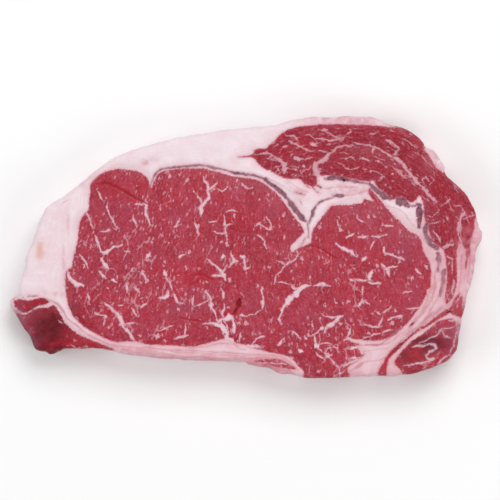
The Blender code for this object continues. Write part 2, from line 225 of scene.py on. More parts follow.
RIGHT_STRANDS = [
    (1.5, 62.2, 0.8, 62.7, -1.4), (1.2, 62.6, -1, 66.5, -2.3, 71.2, -4), (1.4, 61.2, -6.4, 62.8, -8.3),
    (1.1, 62.6, -8.3, 68.6, -7.4), (1.5, 63.6, -8.4, 64.8, -12), (1.8, 57, -9.6, 56, -13.6),
    (1, 55.8, -13.6, 49.8, -13.2), (1.2, 56, -14.8, 60.6, -15), (1.1, 48.8, -14, 47.4, -13.4),
    (1.1, 53, -16.3, 52.8, -20.1), (1.1, 52.6, -22.3, 50.4, -25.3), (1.1, 52.6, -22.7, 55.5, -24.3),
    (1.3, 62, 11.7, 66, 11.2), (1.2, 50.2, 14.8, 52.5, 12.6), (1.3, 45.6, 6.2, 48.7, 7.5),
    (1, 50.9, 6, 55.1, 6.4), (1.1, 57.3, 6.2, 62.9, 6.9), (1.1, 56.2, 0.9, 57.7, 3.1),
    (1.8, 53.3, -4.6, 54.2, -3.4), (0.9, 41.6, 13.3, 42.3, 9.2, 43.6, 9),
    (1.2, 35, -29.2, 39, -30.4, 43.6, -30), (1.9, 43, -30.4, 40.3, -32), (2, 39.6, -32.4, 36.6, -34.9),
    (1.2, 36.8, -34.6, 34.8, -37.6), (1.1, 46, -39.4, 47.2, -35.2),
    (0.9, 54.4, -34, 58, -34.9, 61.4, -34.5), (0.9, 60.4, -34.5, 61.5, -31),
    (1, 64, -31.5, 67, -30.4, 70.5, -29.8), (1.1, 62.2, -27.8, 65.3, -25.4), (1.6, 34.8, -35, 33.2, -36),
    (0.8, 33.2, -36, 31.4, -38.2, 31.2, -39.6), (0.6, 28.6, -38.4, 31.2, -39),
    (1.1, 31.2, -39.4, 31.8, -41.8), (2.6, 31.9, -42.4, 32.8, -43.8), (0.8, 32.8, -44, 35, -45.8),
    (0.7, 32.6, -42.6, 35.4, -42, 38.2, -42.4), (0.7, 36.6, -45.4, 37.6, -44.2, 40.6, -43.9, 41.6, -46),
    (1.8, 37.4, -47, 38, -48.2), (0.7, 35, -45.8, 37.6, -47.4), (0.9, 38.2, -48.4, 39.5, -51, 41.8, -52.8),
    (0.8, 41.9, -52.6, 42.4, -56.4), (0.9, 32.2, -46.2, 32.8, -47.8, 35.6, -48.8),
    (1.3, 43.8, -52.2, 48.2, -50.4, 52.2, -49.2), (0.6, 40, -56.2, 44.6, -54.6),
    (1.2, 26.4, -39.2, 27.2, -39.8), (0.8, 29.8, -32.4, 30.6, -35),
    (0.8, 46.4, -35.6, 46.8, -37.6, 45.9, -39.8), (0.9, 20.6, -37, 24.4, -39.4), (1.3, 17, -40, 15, -42.6),
    (1.6, 24.4, -45.2, 25.6, -46.2), (1, 62, -36.6, 66.4, -36), (0.8, 53.4, -39.6, 60, -37.6),
    (1, 71.6, -19.4, 74.4, -18.6), (0.8, 72.6, -26.6, 78.4, -26.4), (1.2, 77, -8.4, 78.6, -10.4),
    (0.8, 58.6, -28, 60.4, -28.6), (1.8, 46.6, -39.8, 45, -40.6), (1.6, 50.2, -43.4, 47.4, -44.4),
    (1.4, 51, -48.6, 47.6, -48.8),
]
CAP_STRANDS = [
    (2.6, 35.2, 30, 32.4, 34), (3, 32.6, 33.8, 31.2, 37.4, 33, 39.9), (2.2, 32.6, 39.6, 36, 41),
    (3.2, 35.6, 41.6, 38.4, 44.2), (1.3, 38, 44, 41.5, 46.2, 45, 47.4),
    (0.9, 33.6, 44.9, 36.2, 44.6, 38.6, 44), (0.5, 44.8, 47.4, 47.2, 46.7),
    (0.9, 48.8, 48.8, 51.4, 48.1, 56.6, 47.3, 61.6, 45.6), (0.8, 57.4, 46.8, 57, 44.4),
    (1.4, 61, 45.4, 66.4, 42.4, 70.6, 39.2), (1.2, 70.4, 39.2, 73.6, 34.6), (2.5, 70, 39.8, 72.4, 36.8),
    (1.7, 72.6, 36.6, 76, 32), (2.3, 75.4, 33, 79, 29.2), (1.9, 79, 29.2, 82.3, 25.5),
    (1.2, 82, 25.9, 85.5, 22.4), (0.8, 4.7, 43.4, 10.8, 43.4, 13.7, 41.8), (1.4, 13.7, 41.8, 16.6, 39.7),
    (2.4, 16.4, 39.8, 17.8, 37.7, 17.4, 35.6), (3.4, 22.8, 41.4, 24.2, 41.2),
    (0.8, 24.4, 41.4, 27, 41.4, 29.4, 41.8), (1, 19.8, 49.1, 23.1, 47.9, 26.4, 45.9, 28.8, 45.2),
    (0.7, 27.2, 51.9, 30.9, 51, 34, 50.3), (0.6, 9.6, 41.4, 12.9, 41), (0.7, 13.3, 37.7, 14.9, 35.6),
    (0.6, 19.8, 36.9, 23.1, 36), (1.2, 34.2, 54.6, 36.4, 53.8), (0.7, 36.2, 53.6, 39, 52, 41.2, 51),
    (0.9, 34, 50.2, 38, 49.8, 41.4, 50.2), (1.5, 29.8, 48.2, 31.6, 47.2),
    (1.1, 63.3, 50, 66.6, 48.4, 69.4, 46), (1, 69.2, 46, 67, 43.6), (0.4, 67.4, 36.4, 70, 34.8, 73.5, 31.8),
    (0.5, 73.4, 31.8, 76, 30.8, 79.4, 29.4), (0.6, 72.4, 33.6, 70.6, 32.6),
    (0.6, 80.8, 29.4, 79.6, 31.8, 81.2, 33.2, 82.6, 31.4), (0.5, 84.2, 33.4, 84.8, 31.4, 83.2, 29.6),
    (1.1, 52, 41.4, 55.6, 40.8), (0.4, 43.4, 41.2, 47, 42, 49.6, 40.6),
    (0.4, 44, 38.2, 47.6, 36.8, 51, 37.8), (0.4, 57, 36, 61.4, 34.2),
    (0.9, 18.6, 51.8, 21.5, 51.3, 23.9, 49.7), (0.4, 46.6, 54.4, 50.6, 54.8), (0.4, 56, 52.4, 59.4, 53.2),
    (0.4, 58, 42.4, 62, 40.4), (0.6, 60, 31.6, 62.4, 33.4), (0.5, 79.4, 42, 84.4, 37),
    (0.5, 72, 50, 76.6, 46.4), (1.4, 98.2, 17.2, 96.8, 13.8), (1.8, 97.2, 14.8, 96.2, 11.4, 95.8, 9.2),
    (0.7, 99, 14.4, 101.4, 15.2, 103, 16), (0.7, 94.2, 20, 97.4, 19.4, 98.4, 16.6),
    (0.5, 94.4, 15.4, 96.4, 14.2), (0.9, 96, 8.6, 97, 3), (0.5, 83.4, 12.4, 86.8, 12.8),
    (0.8, 88.2, 20.2, 89.8, 21.2, 91.4, 22.6), (1.6, 89.4, 1.4, 92.6, 2.6),
    (1, 87.8, 3.6, 86.4, 6.4, 84.4, 8.4), (0.9, 91, -2.4, 93.4, -4.6, 93, -9.8),
    (0.8, 93.6, -13.6, 93, -20), (0.3, 81.9, 15.2, 84, 15.2, 86.2, 17),
]
CORNER_STRANDS = [
    (0.5, -84.2, -32, -82.8, -33.2), (0.2, -80, -43, -74, -43.4, -68, -44), (0.7, 75.4, -51.6, 82.3, -50.2),
    (0.8, 84.4, -33.4, 79.4, -37.3), (0.8, 4, -50.4, 12, -51.2, 18, -51.6),
]
# Wisps of lean in the fat
LEAN_WISPS = [
    (0.5, -2.8, 42.2, 1, 42.5, 5, 42.7), (2.2, 100.8, 3.6, 100.4, 0, 99.8, -3), (0.8, 99.8, -3, 99.2, -7.6),
    (0.5, 74.2, -34, 75.8, -32.6), (1, 101.6, 8, 100.4, 0), (0.3, -97.4, -20.7, -93.8, -20.7),
    (0.6, 29.6, 29.4, 31.2, 27.4, 32.8, 26), (0.8, 31.6, 29.8, 33.6, 28.8), (0.5, 22.4, 26.4, 26.2, 25.2),
    (1.2, 96, -20, 93, -25.2), (0.6, 55.4, 27.2, 57.2, 28.4), (1, 92, -5, 91.4, -14),
    (0.6, 26, 31, 28.6, 28.4), (0.8, 74.4, -38.6, 79.6, -34.6), (0.8, 48.8, -48.6, 51, -48.8, 53, -47.2),
    (0.4, 25.6, 3, 26.8, 5.4), (0.8, 47.6, -42, 50.6, -42.6),
]
# Faint veins and layer lines in the fat
FAT_VEINS = [
    (0.8, -89, -22.4, -84.2, -24.4, -81.4, -29, -78.8, -32.4), (1.1, 84.2, -28, 79, -33, 72, -38.6),
    (1.1, -2, -48.6, 6, -49, 14, -49.6, 20, -52), (0.9, -6, -49.8, 4, -50.8, 12, -52.6, 20, -54.6),
    (0.7, 0, -47.4, 9, -47.8, 17, -49.2, 24, -54), (0.8, 6, -51.6, 14, -53.8, 22, -55.8),
    (0.7, -84, -24.9, -79.4, -31.6, -72, -37.2), (0.6, -74.4, -36.2, -66, -40.4, -56, -43.6),
    (0.6, 84.2, -16.2, 80.4, -25, 72, -36.4), (0.8, 85.6, -10, 84.6, -20, 78, -30.4, 70, -39),
    (0.6, 87, -21, 80.4, -31.2, 74, -37.6), (0.7, 46, -41, 53.4, -42.4, 62, -42.2, 66, -40.6, 71, -37),
    (0.2, 62, 20.4, 70, 17.4, 76, 10.6), (0.5, 33, 22.2, 41, 24, 49, 25.2, 54, 27),
    (0.6, -40, -44.6, -20, -45.6, 2, -46.8, 14, -48.6), (0.6, -52, -43.4, -30, -46, -12, -47.2, 2, -48),
    (0.6, -62, -42.2, -48, -44.8, -30, -47.8, 0, -49.4),
    (0.6, -70, -38.2, -58, -43.6, -46, -46.6, -24, -48.8), (0.5, -26, -44.4, -10, -42.4, 0, -44.8),
    (0.6, -66, -44, -50, -46.8, -30, -48.8, -8, -49.8), (0.2, 19.4, 31.1, 23.9, 28.3, 28, 26.2),
    (0.1, 18, 30.6, 22, 27.6, 27, 25.8), (0.1, 10, 33.2, 15, 30.6, 20, 26.6), (0.4, 24.4, 22.6, 25.4, 20.8),
    (0.5, 34, 27.6, 42, 28.6, 50, 28.8), (0.2, 57, 24.6, 61, 19.6, 67, 13.4),
    (0.6, 97.6, -2, 97.2, -12, 96.4, -19), (0.6, 93.2, 0, 92.8, -8, 92.4, -18), (0.6, 101.6, -4, 100, -14),
    (0.7, 86.2, -14, 83.6, -23, 76, -32.6), (0.8, 82, -31.8, 76, -36.8, 68, -42.8),
    (0.6, 88.4, -25.2, 83, -30.6), (1.3, 47, -54.4, 50.4, -52.4, 54, -50.2),
    (0.3, 54, -50.2, 60, -49.6, 64, -47.9), (0.2, 53.4, -45.6, 58.4, -44.8, 63.6, -44.4),
]
# Silverskin, a grey membrane between the muscles
SILVERSKIN = [
    (1, -42.7, 29.4, -41.6, 33, -40.4, 34.9, -38.4, 36.4, -34, 37.4, -29, 37.9),
    (0.9, -29, 37.9, -23.5, 38.3, -18.2, 38.2, -14.5, 37.4, -10, 36.1),
    (1.2, -10, 36.1, -4.7, 34.9, 0.5, 34.3, 5, 33.5, 8, 32.2),
    (1.8, 8, 32.2, 12.5, 29.1, 16.3, 26.2, 18.9, 23.6),
    (2.2, 18.9, 23.6, 20.8, 20.6, 23.4, 17.1, 25.6, 14.7, 27.7, 12.8), (0.8, 27.8, 12.8, 28.2, 9.6, 28, 6),
    (1.3, 28.4, 13, 30.2, 16.7, 31.8, 20.1), (0.9, 31.6, 19.7, 33.5, 21.8, 36.5, 23.1, 40.3, 24.1),
    (1.8, 39.6, 24.3, 43.6, 24.7), (1.8, 36, 32.6, 40.6, 32.6), (2.2, 41.7, 32.7, 43.8, 32.6),
    (1.4, 45.9, 32, 50, 31.2, 54.6, 29.9), (1.9, 56.2, 29.7, 58, 28.2, 61, 25.6, 64.8, 23.4),
    (2.6, 61.4, 24.8, 63.8, 23.8), (3.9, 69.4, 22.2, 70.8, 21.7), (2.4, 71.6, 21, 73, 20.4),
    (1.6, 75.3, 20.2, 75.8, 20.2), (2, 77.6, 20.6, 78.6, 20.4), (3.4, 78.2, 18.4, 78.5, 14.6),
    (2.2, 78.4, 15, 78, 10.8), (2.2, 81.2, 11, 81.5, 6), (2.9, 81.6, 6.4, 83.2, 2.6),
    (1.9, 83.2, 2.4, 86.4, 1.3), (2.6, 87, -2, 87.6, -5.4), (1.3, 87, -6.4, 86.6, -9),
    (2.2, 89.2, -9.6, 89, -15), (1.5, 89, -14.6, 87.4, -20.4),
    (0.4, 54.4, -42.5, 58.3, -42.9, 61.9, -41.9, 65, -39.4, 69.5, -35.9),
]
# Wet film on the shrunken corner muscle, as raised curls. Their pale colour is partly the film's own whitish
# colour and partly a painted highlight of its wet shine
FILM = [
    (1, 75.6, -43.8, 79, -43, 83, -42.4), (1.5, 82.4, -42.4, 85.6, -43.4, 85.4, -45),
    (0.9, 85.2, -45.2, 82.2, -45.8, 81.2, -47.8), (1.2, 81, -47.4, 82.2, -49, 84.8, -48.6),
    (0.5, 78.6, -41.6, 82, -40, 86, -38.6, 88.3, -35.8, 92.8, -35.4, 95, -33.6),
    (0.5, 88.4, -36, 90, -38.6, 92.4, -40), (1, 92, -31.8, 95, -32, 95.2, -34.6),
    (0.5, 78, -55, 86.6, -50.8, 91.6, -46.6), (0.4, 92, -46, 94.6, -40, 96, -34.4),
    (0.6, 71.4, -52.6, 76, -51.6, 82.4, -51),
]
# Dark cuts: creases and a small tear in the eye, and holes in the fat, which are painted near black as
# painted shade
CREASES = [
    (1.4, -67, 30.6, -62.5, 31, -57, 28.6, -51, 24.7, -45, 21.4),
    (0.9, -30, -30.4, -25, -30.6, -20.6, -31.6, -17.6, -32.6), (0.6, -26, -12, -20, -11.6, -14.4, -12.8),
    (1.5, 24.4, 0.4, 26.8, 1.2), (0.9, 26.8, 1.6, 31, 1.6, 36, -0.6, 41, -3.2),
    (0.8, -76.8, -28.6, -73, -33.6), (0.4, -10, 11.6, -3, 9, 4, 8.6),
]
TEAR = [
    (2.3, -2.8, -22.4, -3.6, -25.4), (1.1, -3.9, -25.6, -5.6, -28.8),
]
PITS = [
    (1.7, 44.2, 31.7, 44.8, 31.7), (0.65, 90.6, -28.3, 92.3, -27.6), (1, 33.6, 28.6, 34, 28.4),
    (0.65, 74.9, -33.8, 75.5, -33),
]

# Spots of darker meat: centre, radii and strength, as in all the lists of spots
DARK_SPOTS = [
    (-88, -34, 13, 11, 1.1), (-94, -45, 12, 5, 1.2), (-88, -46.4, 6, 2.2, 1.2), (-70, -44.5, 12, 3, 0.25),
    (-98, -24, 6, 3, 0.05), (82, -41.5, 11, 3.5, 1), (76, -49, 8, 5, 0.9), (86, -45, 7, 5, 0.3),
    (68, -46, 5, 4, 0.4),
]
# Lean of a clearer red, and lean that is mauve
RED_SPOTS = [
    (-56, 27, 9, 4.5, 0.8), (-40, 20, 9, 7, 0.4), (-3, 13, 9, 7, 0.6), (-20, -13, 13, 5, 0.75),
    (-34, -9, 8, 4, 0.6), (-12, -26, 8, 5, 0.4), (-8, -28.2, 2.8, 1.3, 1.2), (30, 1, 9, 3, 0.7),
    (45, 4, 7, 4, 0.4), (84, -20, 4, 8, 0.5), (-74, -31, 5, 4, 0.7), (-30, -37, 9, 3, 0.5),
    (95, -10, 4, 10, 0.9), (100, 14, 5, 9, 0.6), (90, 30, 8, 6, 0.4), (-97, -23.6, 8, 3, 1.3),
    (-68, -43.6, 10, 3, 1.2), (-78, -38.6, 7, 4, 0.6), (-84, -42.4, 9, 2, 0.7), (-94, -28, 8, 3, 0.4),
    (66, -50, 5, 8, 1.1), (84, -50, 9, 3, 1.2), (89.4, -33.4, 4, 1.6, 1.2), (76.8, -46.2, 3.6, 3.4, 1.1),
    (60, -5, 9, 3, 0.3), (46, -20, 10, 5, 0.3), (20, 44, 12, 5, 0.3), (34, -44, 9, 6, 0.3),
]
MAUVE_SPOTS = [
    (-57, 17, 12, 9, 0.6), (-28, -25, 10, 4, 0.8), (68, 0, 12, 12, 0.45), (30, -33, 8, 7, 0.5),
    (-62, -8, 16, 10, 0.35), (-12, -22, 6, 6, 0.4), (88, -36, 7, 4, 0.9), (92, -44, 4, 8, 0.6),
    (-102.5, -29, 3, 5, 0.9), (-99, -36, 2.6, 6, 0.8), (-94.5, -42.5, 3, 4, 0.6), (50, 18, 12, 5, 0.3),
    (74, -25, 7, 6, 0.3),
]
# Where fine flecks of fat crowd, or thin out
FLECK_SPOTS = [
    (-50, -18, 26, 24, 0.55), (-55, 2, 24, 16, 0.3), (40, -44, 16, 12, 0.8), (60, -26, 22, 12, 0.15),
    (-3, 20, 18, 12, -0.35), (30, -28, 12, 12, -0.15), (45, 3, 18, 9, -0.1), (-20, -36, 12, 6, -0.3),
    (0, -25, 14, 10, 0.1), (40, 13, 14, 6, -0.2), (-97, -24.6, 9, 4, -1.6), (-82, -40, 16, 7, -0.5),
    (-56, 31, 12, 6, -0.9), (79, 38, 6, 8, 0.6), (26, 34, 10, 4, 1.4), (14, 37.6, 6, 3, 0.8),
]
# Stains of the fat: a tan one on the cap and pink flushes. Then mauve membrane at the tail's rim and at the
# corner muscle's right edge, which is partly its own colour and partly a painted highlight of its wet edge
TAN_SPOTS = [
    (-92.6, 0.3, 1.8, 4.2, 1.5), (-92, 4.6, 1.2, 1.6, 0.4), (-93.4, -2.6, 1, 1.4, 0.4),
]
FLUSH_SPOTS = [
    (-44.8, 39.8, 2.4, 1.4, 0.9), (-40.6, 41.2, 3, 1.4, 0.25), (100, -4, 4.5, 14, 1.1),
    (88, -26, 3, 6, 0.5), (94, -22, 3, 5, 0.8), (46, 27.4, 11, 3, 0.8), (97, 2, 3, 5, 0.6),
    (-70, 34.6, 5, 2, 0.3), (-86, -19.6, 5, 1.6, 0.5), (52, -55, 7, 2.4, 0.4), (12, -52, 12, 2, 0.7),
    (-36, -49.4, 30, 1.6, 0.6), (87.6, -6, 2.6, 7, 0.7), (89.6, -15, 2.4, 6, 0.7), (81.4, 5, 2.4, 5, 0.5),
    (96.6, 13, 2.4, 6, 0.5), (24, 1, 3, 3, 0.6), (-82, -4, 0.9, 12, 0.5), (-80, 12, 0.8, 8, 0.45),
    (-90, -6, 9, 16, 0.12), (-86, 16, 5, 6, 0.18), (-74, 31, 6, 3, 0.35), (68, -55.4, 4, 2, 0.6),
    (103, 6, 3, 4, 0.5), (46, 58.6, 26, 2, 0.85), (86, 42, 6, 6, 0.95), (24.6, 24.6, 5, 5, 0.3),
]
MEMBRANE_AND_HIGHLIGHT_SPOTS = [
    (-103.6, -28.8, 2.2, 3.2, 1.1), (-101.6, -33.4, 2, 4.4, 0.8), (-97.8, -39.6, 1.6, 3.6, 0.7),
    (95.4, -38.4, 2.2, 7.5, 0.7),
]

# Fineness of the sampled curves, points handled at once, and the furthest distance stored
CURVE_SAMPLES = 12
EDGE_STEP = 0.4
LINE_STEP = 0.3
CHUNK = 4000
FAR = 12.0
NOISE_CELLS = 64

# Each kind of line: its rows and its taper, then the sizes and reaches of the noise that makes
# it crooked, the seed, and the least share, swing and noise size of its uneven width
LINE_KINDS = {
    "strands": (EYE_STRANDS + RIGHT_STRANDS + CAP_STRANDS + CORNER_STRANDS, 0.5,
                (2.4, 1.0), (1.1, 0.55), 41, 0.25, 1.25, 1.3),
    "silver": (SILVERSKIN, 0.25, (3.0, 1.2), (0.7, 0.4), 51, 0.6, 0.8, 2.0),
    "film": (FILM, 0.8, (4.0, 1.6), (1.6, 0.7), 71, 0.5, 1.0, 2.4),
    "veins": (FAT_VEINS, 0.5, (6.0, 2.0), (1.4, 0.5), 81, 0.4, 1.2, 3.0),
    "cuts": (CREASES + TEAR, 0.5, (5.0, 1.5), (1.8, 0.5), 61, 1.0, 0.0, 1.0),
}
WIDTH_SEED_STEP = 4

# Raised and sunken lines: the rise, and the depths inside the line where it starts and is full
LINE_RELIEF = {
    "strands": (0.16, -0.4, 0.5),
    "silver": (-0.24, -0.5, 0.5),
    "film": (0.4, -0.8, 0.8),
    "cuts": (-0.22, -0.4, 0.4),
    "tear": (-0.8, -0.4, 0.6),
    "pits": (-0.9, -0.4, 0.4),
}

# Grain of the cut face and bumps of the rim: noise size, weight and seed of each layer
GRAIN_LAYERS = [(1.1, 1.0, 21), (2.3, 0.6, 22), (5.5, 0.8, 23)]
FAT_GRAIN = 0.05
LEAN_GRAIN = 0.16
RIM_LAYERS = [(9.0, 1.0, 31), (3.5, 0.6, 32), (1.5, 0.5, 33)]
RIM_BUMPS = 0.55

# The rim reads the muscles this far inside the outline, and they drift sideways with depth
RIM_READS = 1.2
DRIFT = 4.0
DRIFT_SIZE = 14.0
DRIFT_SEEDS = (11, 12)

# The fat turns pink from one of these distances to the other: downwards and away from the tail,
# and to the right below the cap
PINK_DOWN = (18.0, 46.0)
PINK_FROM_TAIL = (-95.0, -60.0)
PINK_RIGHT = (62.0, 86.0)
PINK_BELOW_CAP = (-30.0, -8.0)
CAP_FEWER_FLECKS = 0.25

# Grain: it fans out from a point in the eye, and follows an arc in the cap
FAN_CENTRE = (8.0, 190.0)
FAN_RADIUS = 190.0
BOW_CENTRE = (48.0, -2.0)
BOW_RADIUS = 42.0

# The bake's map: its scales, in shares of its square for each millimetre, and its places
TOP_MAP_SCALE = 1 / 219.0
TOP_MAP_CENTRE = (0.5, 0.72)
BASE_MAP_SCALE = 1 / 290.0
BASE_MAP_CENTRE = (0.37, 0.245)
WALL_MAP_SCALE = 1 / 590.0
WALL_MAP_TOP = 0.042
WALL_MAP_WIDTH = 0.996


def srgb(red, green, blue):
    """Linear colour for a screen colour from 0 to 255."""
    channels = np.array([red, green, blue]) / 255.0
    linear = np.where(channels <= 0.04045, channels / 12.92, ((channels + 0.055) / 1.055) ** 2.4)
    return (*linear.tolist(), 1.0)


# Colours, as seen on screen
LEAN_DEEP = srgb(156, 40, 56)
LEAN_BRIGHT = srgb(176, 52, 68)
LEAN_ROSY = srgb(174, 72, 92)
LEAN_PALE = srgb(204, 108, 126)
LEAN_SHADE = srgb(134, 28, 46)
LEAN_RED = srgb(176, 24, 40)
LEAN_MAUVE = srgb(146, 66, 90)
CAP_RED = srgb(140, 24, 40)
DARK_MEAT = srgb(84, 12, 26)
DARK_MEAT_PALE = srgb(124, 20, 36)
STRAND_FAT = srgb(215, 160, 173)
STRAND_CORE = srgb(228, 202, 210)
CUT_RED = srgb(150, 8, 24)
TEAR_RED = srgb(132, 2, 14)
# Near black in the holes of the fat: painted shade
PIT_PAINTED_SHADE = srgb(50, 10, 16)
FAT_WHITE = srgb(235, 219, 225)
FAT_PINK = srgb(224, 182, 190)
FAT_LINE = srgb(206, 134, 148)
VEIN_RED = srgb(186, 84, 100)
FAT_SHADE = srgb(214, 178, 188)
SILVER_DEEP = srgb(104, 48, 66)
SILVER_PALE = srgb(150, 94, 114)
# Pale of the wet film: partly its own whitish colour, partly a painted highlight
FILM_PALE_AND_HIGHLIGHT = srgb(224, 196, 208)
RIM_FILM = srgb(196, 150, 166)
STAIN_TAN = srgb(222, 180, 168)
FLUSH_PINK = srgb(204, 134, 148)
# Mauve of the membrane: partly its own colour, partly a painted highlight of its wet edge
MEMBRANE_AND_HIGHLIGHT = srgb(158, 90, 108)

# Vertex values that are stored three together
STORED_TOGETHER = {
    "pits": ("pit_depth", "tear_depth", "unused"),
    "tone": ("darkness", "pinkness", "crowding"),
    "tint": ("redness", "mauveness", "cap_share"),
    "stains_and_highlight": ("tan", "flush", "membrane"),
}

# How the flecks follow the fibres, and the layers of the fat: their closeness along the muscles'
# edges and their slow drift
LOOSE_FIBRE = (1.0, 0.5, 1.0)
WIDE_FIBRE = (1.0, 0.74, 1.0)
LAYERS_ALONG_EDGE = 1.3
LAYERS_DRIFT = (0.05, 0.05, 0.1)

# How far past its last point a line still reaches
PAST_END = 0.35

# Noises of the material: what each follows, its stretch along that, its size in millimetres,
# its detail, roughness and distortion
EVEN = (1.0, 1.0, 1.0)
ALONG_FIBRES = (1.0, 0.42, 1.0)
NOISES = {
    "streaks": ("fibre", ALONG_FIBRES, 1.1, 3.0, 0.65, 0.0),
    "speckle": ("fibre", (1.0, 0.8, 1.0), 0.68, 2.0, 0.75, 0.0),
    "bundles": ("fibre", ALONG_FIBRES, 5.0, 2.0, 0.5, 0.6),
    "patches": ("spot", EVEN, 16.0, 2.0, 0.5, 0.0),
    "lumps": ("spot", EVEN, 3.4, 4.0, 0.65, 0.0),
    "hues": ("spot", EVEN, 6.0, 4.0, 0.6, 0.0),
    "layer_lines": ("layers", EVEN, 0.9, 3.0, 0.6, 0.0),
    "mottle": ("spot", EVEN, 7.0, 3.0, 0.5, 0.0),
    "pores": ("spot", EVEN, 0.7, 2.0, 0.5, 0.0),
    "skin_lumps": ("spot", EVEN, 1.3, 3.0, 0.6, 0.0),
    "side_film": ("spot", (1.0, 1.0, 0.35), 4.0, 4.0, 0.6, 0.0),
}

# Ragged edges: the depth that each starts from, what its noise follows, the noise's size, how
# far the edge wobbles and how soft it is
EDGES = {
    "muscle": ("lean", "loose_fibre", 1.5, 0.40, 0.20),
    "fringe": ("lean", "spot", 0.9, 1.0, 0.30),
    "strand": ("strands_depth", "spot", 0.8, 0.36, 0.22),
    "cut": ("cuts_depth", "spot", 1.6, 0.22, 0.28),
    "torn": ("tear_depth", "spot", 1.2, 0.15, 0.20),
    "vein": ("veins_depth", "spot", 2.2, 0.22, 0.42),
    "skin": ("silver_depth", "spot", 1.4, 0.28, 0.28),
    "wet_film_and_highlight": ("film_depth", "spot", 1.0, 0.36, 0.30),
}

# Colours over the lean, in order: the value that places each, where it starts and is full, its
# strength and its colour
LEAN_LAYERS = [
    ("patches", 0.45, 0.70, 0.45, LEAN_ROSY),
    ("cap_share", 0.0, 1.0, 0.72, CAP_RED),
    ("streaks", 0.50, 0.72, 0.34, LEAN_PALE),
    ("streaks", 0.50, 0.30, 0.42, LEAN_SHADE),
    ("speckle", 0.53, 0.74, 0.56, LEAN_PALE),
    ("speckle", 0.47, 0.28, 0.52, LEAN_SHADE),
    ("hues", 0.52, 0.74, 0.34, LEAN_MAUVE),
    ("hues", 0.46, 0.28, 0.30, LEAN_RED),
]

# Colours over the fat, in the same way
FAT_LAYERS = [("pores", 0.50, 0.70, 0.26, FAT_SHADE), ("lean", -1.3, -0.1, 0.35, FAT_LINE)]

# Flecks of fat: what they follow, their size and softness, the share of cells that have one, what
# crowding adds to that, and their strength
FLECKS = [("loose_fibre", 1.5, 0.22, 0.46, 0.40, 0.52), ("wide_fibre", 2.4, 0.18, 0.20, 0.32, 0.80)]

# Net of thin veins: the size of its cells, the width and strength of its veins, how many there
# are, and what crowding and a strand nearby add
NET_SIZE = 4.2
NET_WIDTH = 0.24
NET_STRENGTH = 0.50
NET_AMOUNT = 0.42
NET_CROWDED = 0.10
NET_BESIDE_STRAND = 0.05

# Stains that the lumps break up: the amount stored at each vertex, the lumps where it starts and
# is full, its strength and its colour
LEAN_STAINS = [("redness", 0.34, 0.62, 0.75, LEAN_RED), ("mauveness", 0.64, 0.36, 0.80, LEAN_MAUVE)]
FAT_STAINS = [("flush", 0.30, 0.66, 0.80, FLUSH_PINK), ("tan", 0.20, 0.48, 0.80, STAIN_TAN)]
EDGE_STAINS = [("flush", 0.36, 0.60, 0.45, FLUSH_PINK)]
SKIN_STAINS_AND_HIGHLIGHT = [("membrane", 0.30, 0.60, 0.80, MEMBRANE_AND_HIGHLIGHT)]

# Finish: the roughness of lean and what fat, silverskin, film and speckle add, the bumps of the
# grain and what strands, flecks and the fat's layers add, and the shine and depth of the meat
ROUGHNESS = 0.40
ROUGHNESS_ADDED = {"fat_share": 0.08, "silverskin": -0.12, "wet_film_and_highlight": -0.18}
SPECKLE_ROUGHNESS = 0.3
BUMP_STRENGTH = 0.8
SPECKLE_BUMP = 0.12
STREAK_BUMP = 0.20
GRAIN_IN_FAT = 0.1
BUMPS_ADDED = {"strand": 0.10, "fleck_cover": 0.06, "fat_layers": 0.06}
SPECULAR = 0.2
SUBSURFACE = 0.12
SUBSURFACE_RADIUS = (1.0, 0.35, 0.3)
SUBSURFACE_DEPTH = 0.8

# Light and camera. The frame is 500 pixels of 0.45 mm at the cut face.
LIGHTS = {
    "key": ((0.35, 0.9, 1.3), 13.3),
    "fill_left": ((-1.2, -0.2, 1.0), 6.7),
    "fill_right": ((1.0, -0.8, 1.1), 6.7),
}
LIGHT_SIZE = 1.0
LIGHT_TARGET = (0.0, 0.0, 0.01)
SKY_STRENGTH = 0.42
FLOOR_HALF = 3.0
FLOOR_GREY = (0.93, 0.93, 0.93, 1.0)
FLOOR_ROUGHNESS = 0.8
SENSOR = 36.0
CAMERA_HEIGHT = 2.0
NEAREST_SEEN = 0.01
FRAME_WIDTH = 225.0
FRAME_CENTRE = (1.9, -1.2)


def smooth_curve(points, step, closed):
    """Catmull-Rom curve through the points, resampled at equal steps along its length."""
    knots = np.asarray(points, dtype=float)
    if closed:
        padded = np.vstack([knots[-1:], knots, knots[:2]])
    else:
        padded = np.vstack([2 * knots[0] - knots[1], knots, 2 * knots[-1] - knots[-2]])
    t = np.linspace(0.0, 1.0, CURVE_SAMPLES, endpoint=False)[None, :, None]
    before, start, end, after = (padded[i:len(padded) - 3 + i, None, :] for i in range(4))
    curve = 0.5 * (2 * start + (end - before) * t
                   + (2 * before - 5 * start + 4 * end - after) * t ** 2
                   + (3 * start - before - 3 * end + after) * t ** 3)
    curve = np.vstack([curve.reshape(-1, 2), padded[-2]])
    length = path_length(curve)
    count = max(3, int(round(length[-1] / step)))
    return sample_path(curve, np.linspace(0.0, length[-1], count, endpoint=not closed))


def path_length(path):
    """Length travelled along a path of points, at each point."""
    return np.concatenate([[0.0], np.cumsum(np.linalg.norm(np.diff(path, axis=0), axis=1))])


def sample_path(path, stations):
    """Points of a path at the given lengths along it."""
    length = path_length(path)
    return np.column_stack([np.interp(stations, length, path[:, axis]) for axis in range(path.shape[1])])


def directions(points, closed):
    """Unit vectors along a sampled line."""
    if closed:
        along = np.roll(points, -1, axis=0) - np.roll(points, 1, axis=0)
    else:
        along = np.gradient(points, axis=0)
    return along / np.maximum(np.linalg.norm(along, axis=1)[:, None], 1e-9)


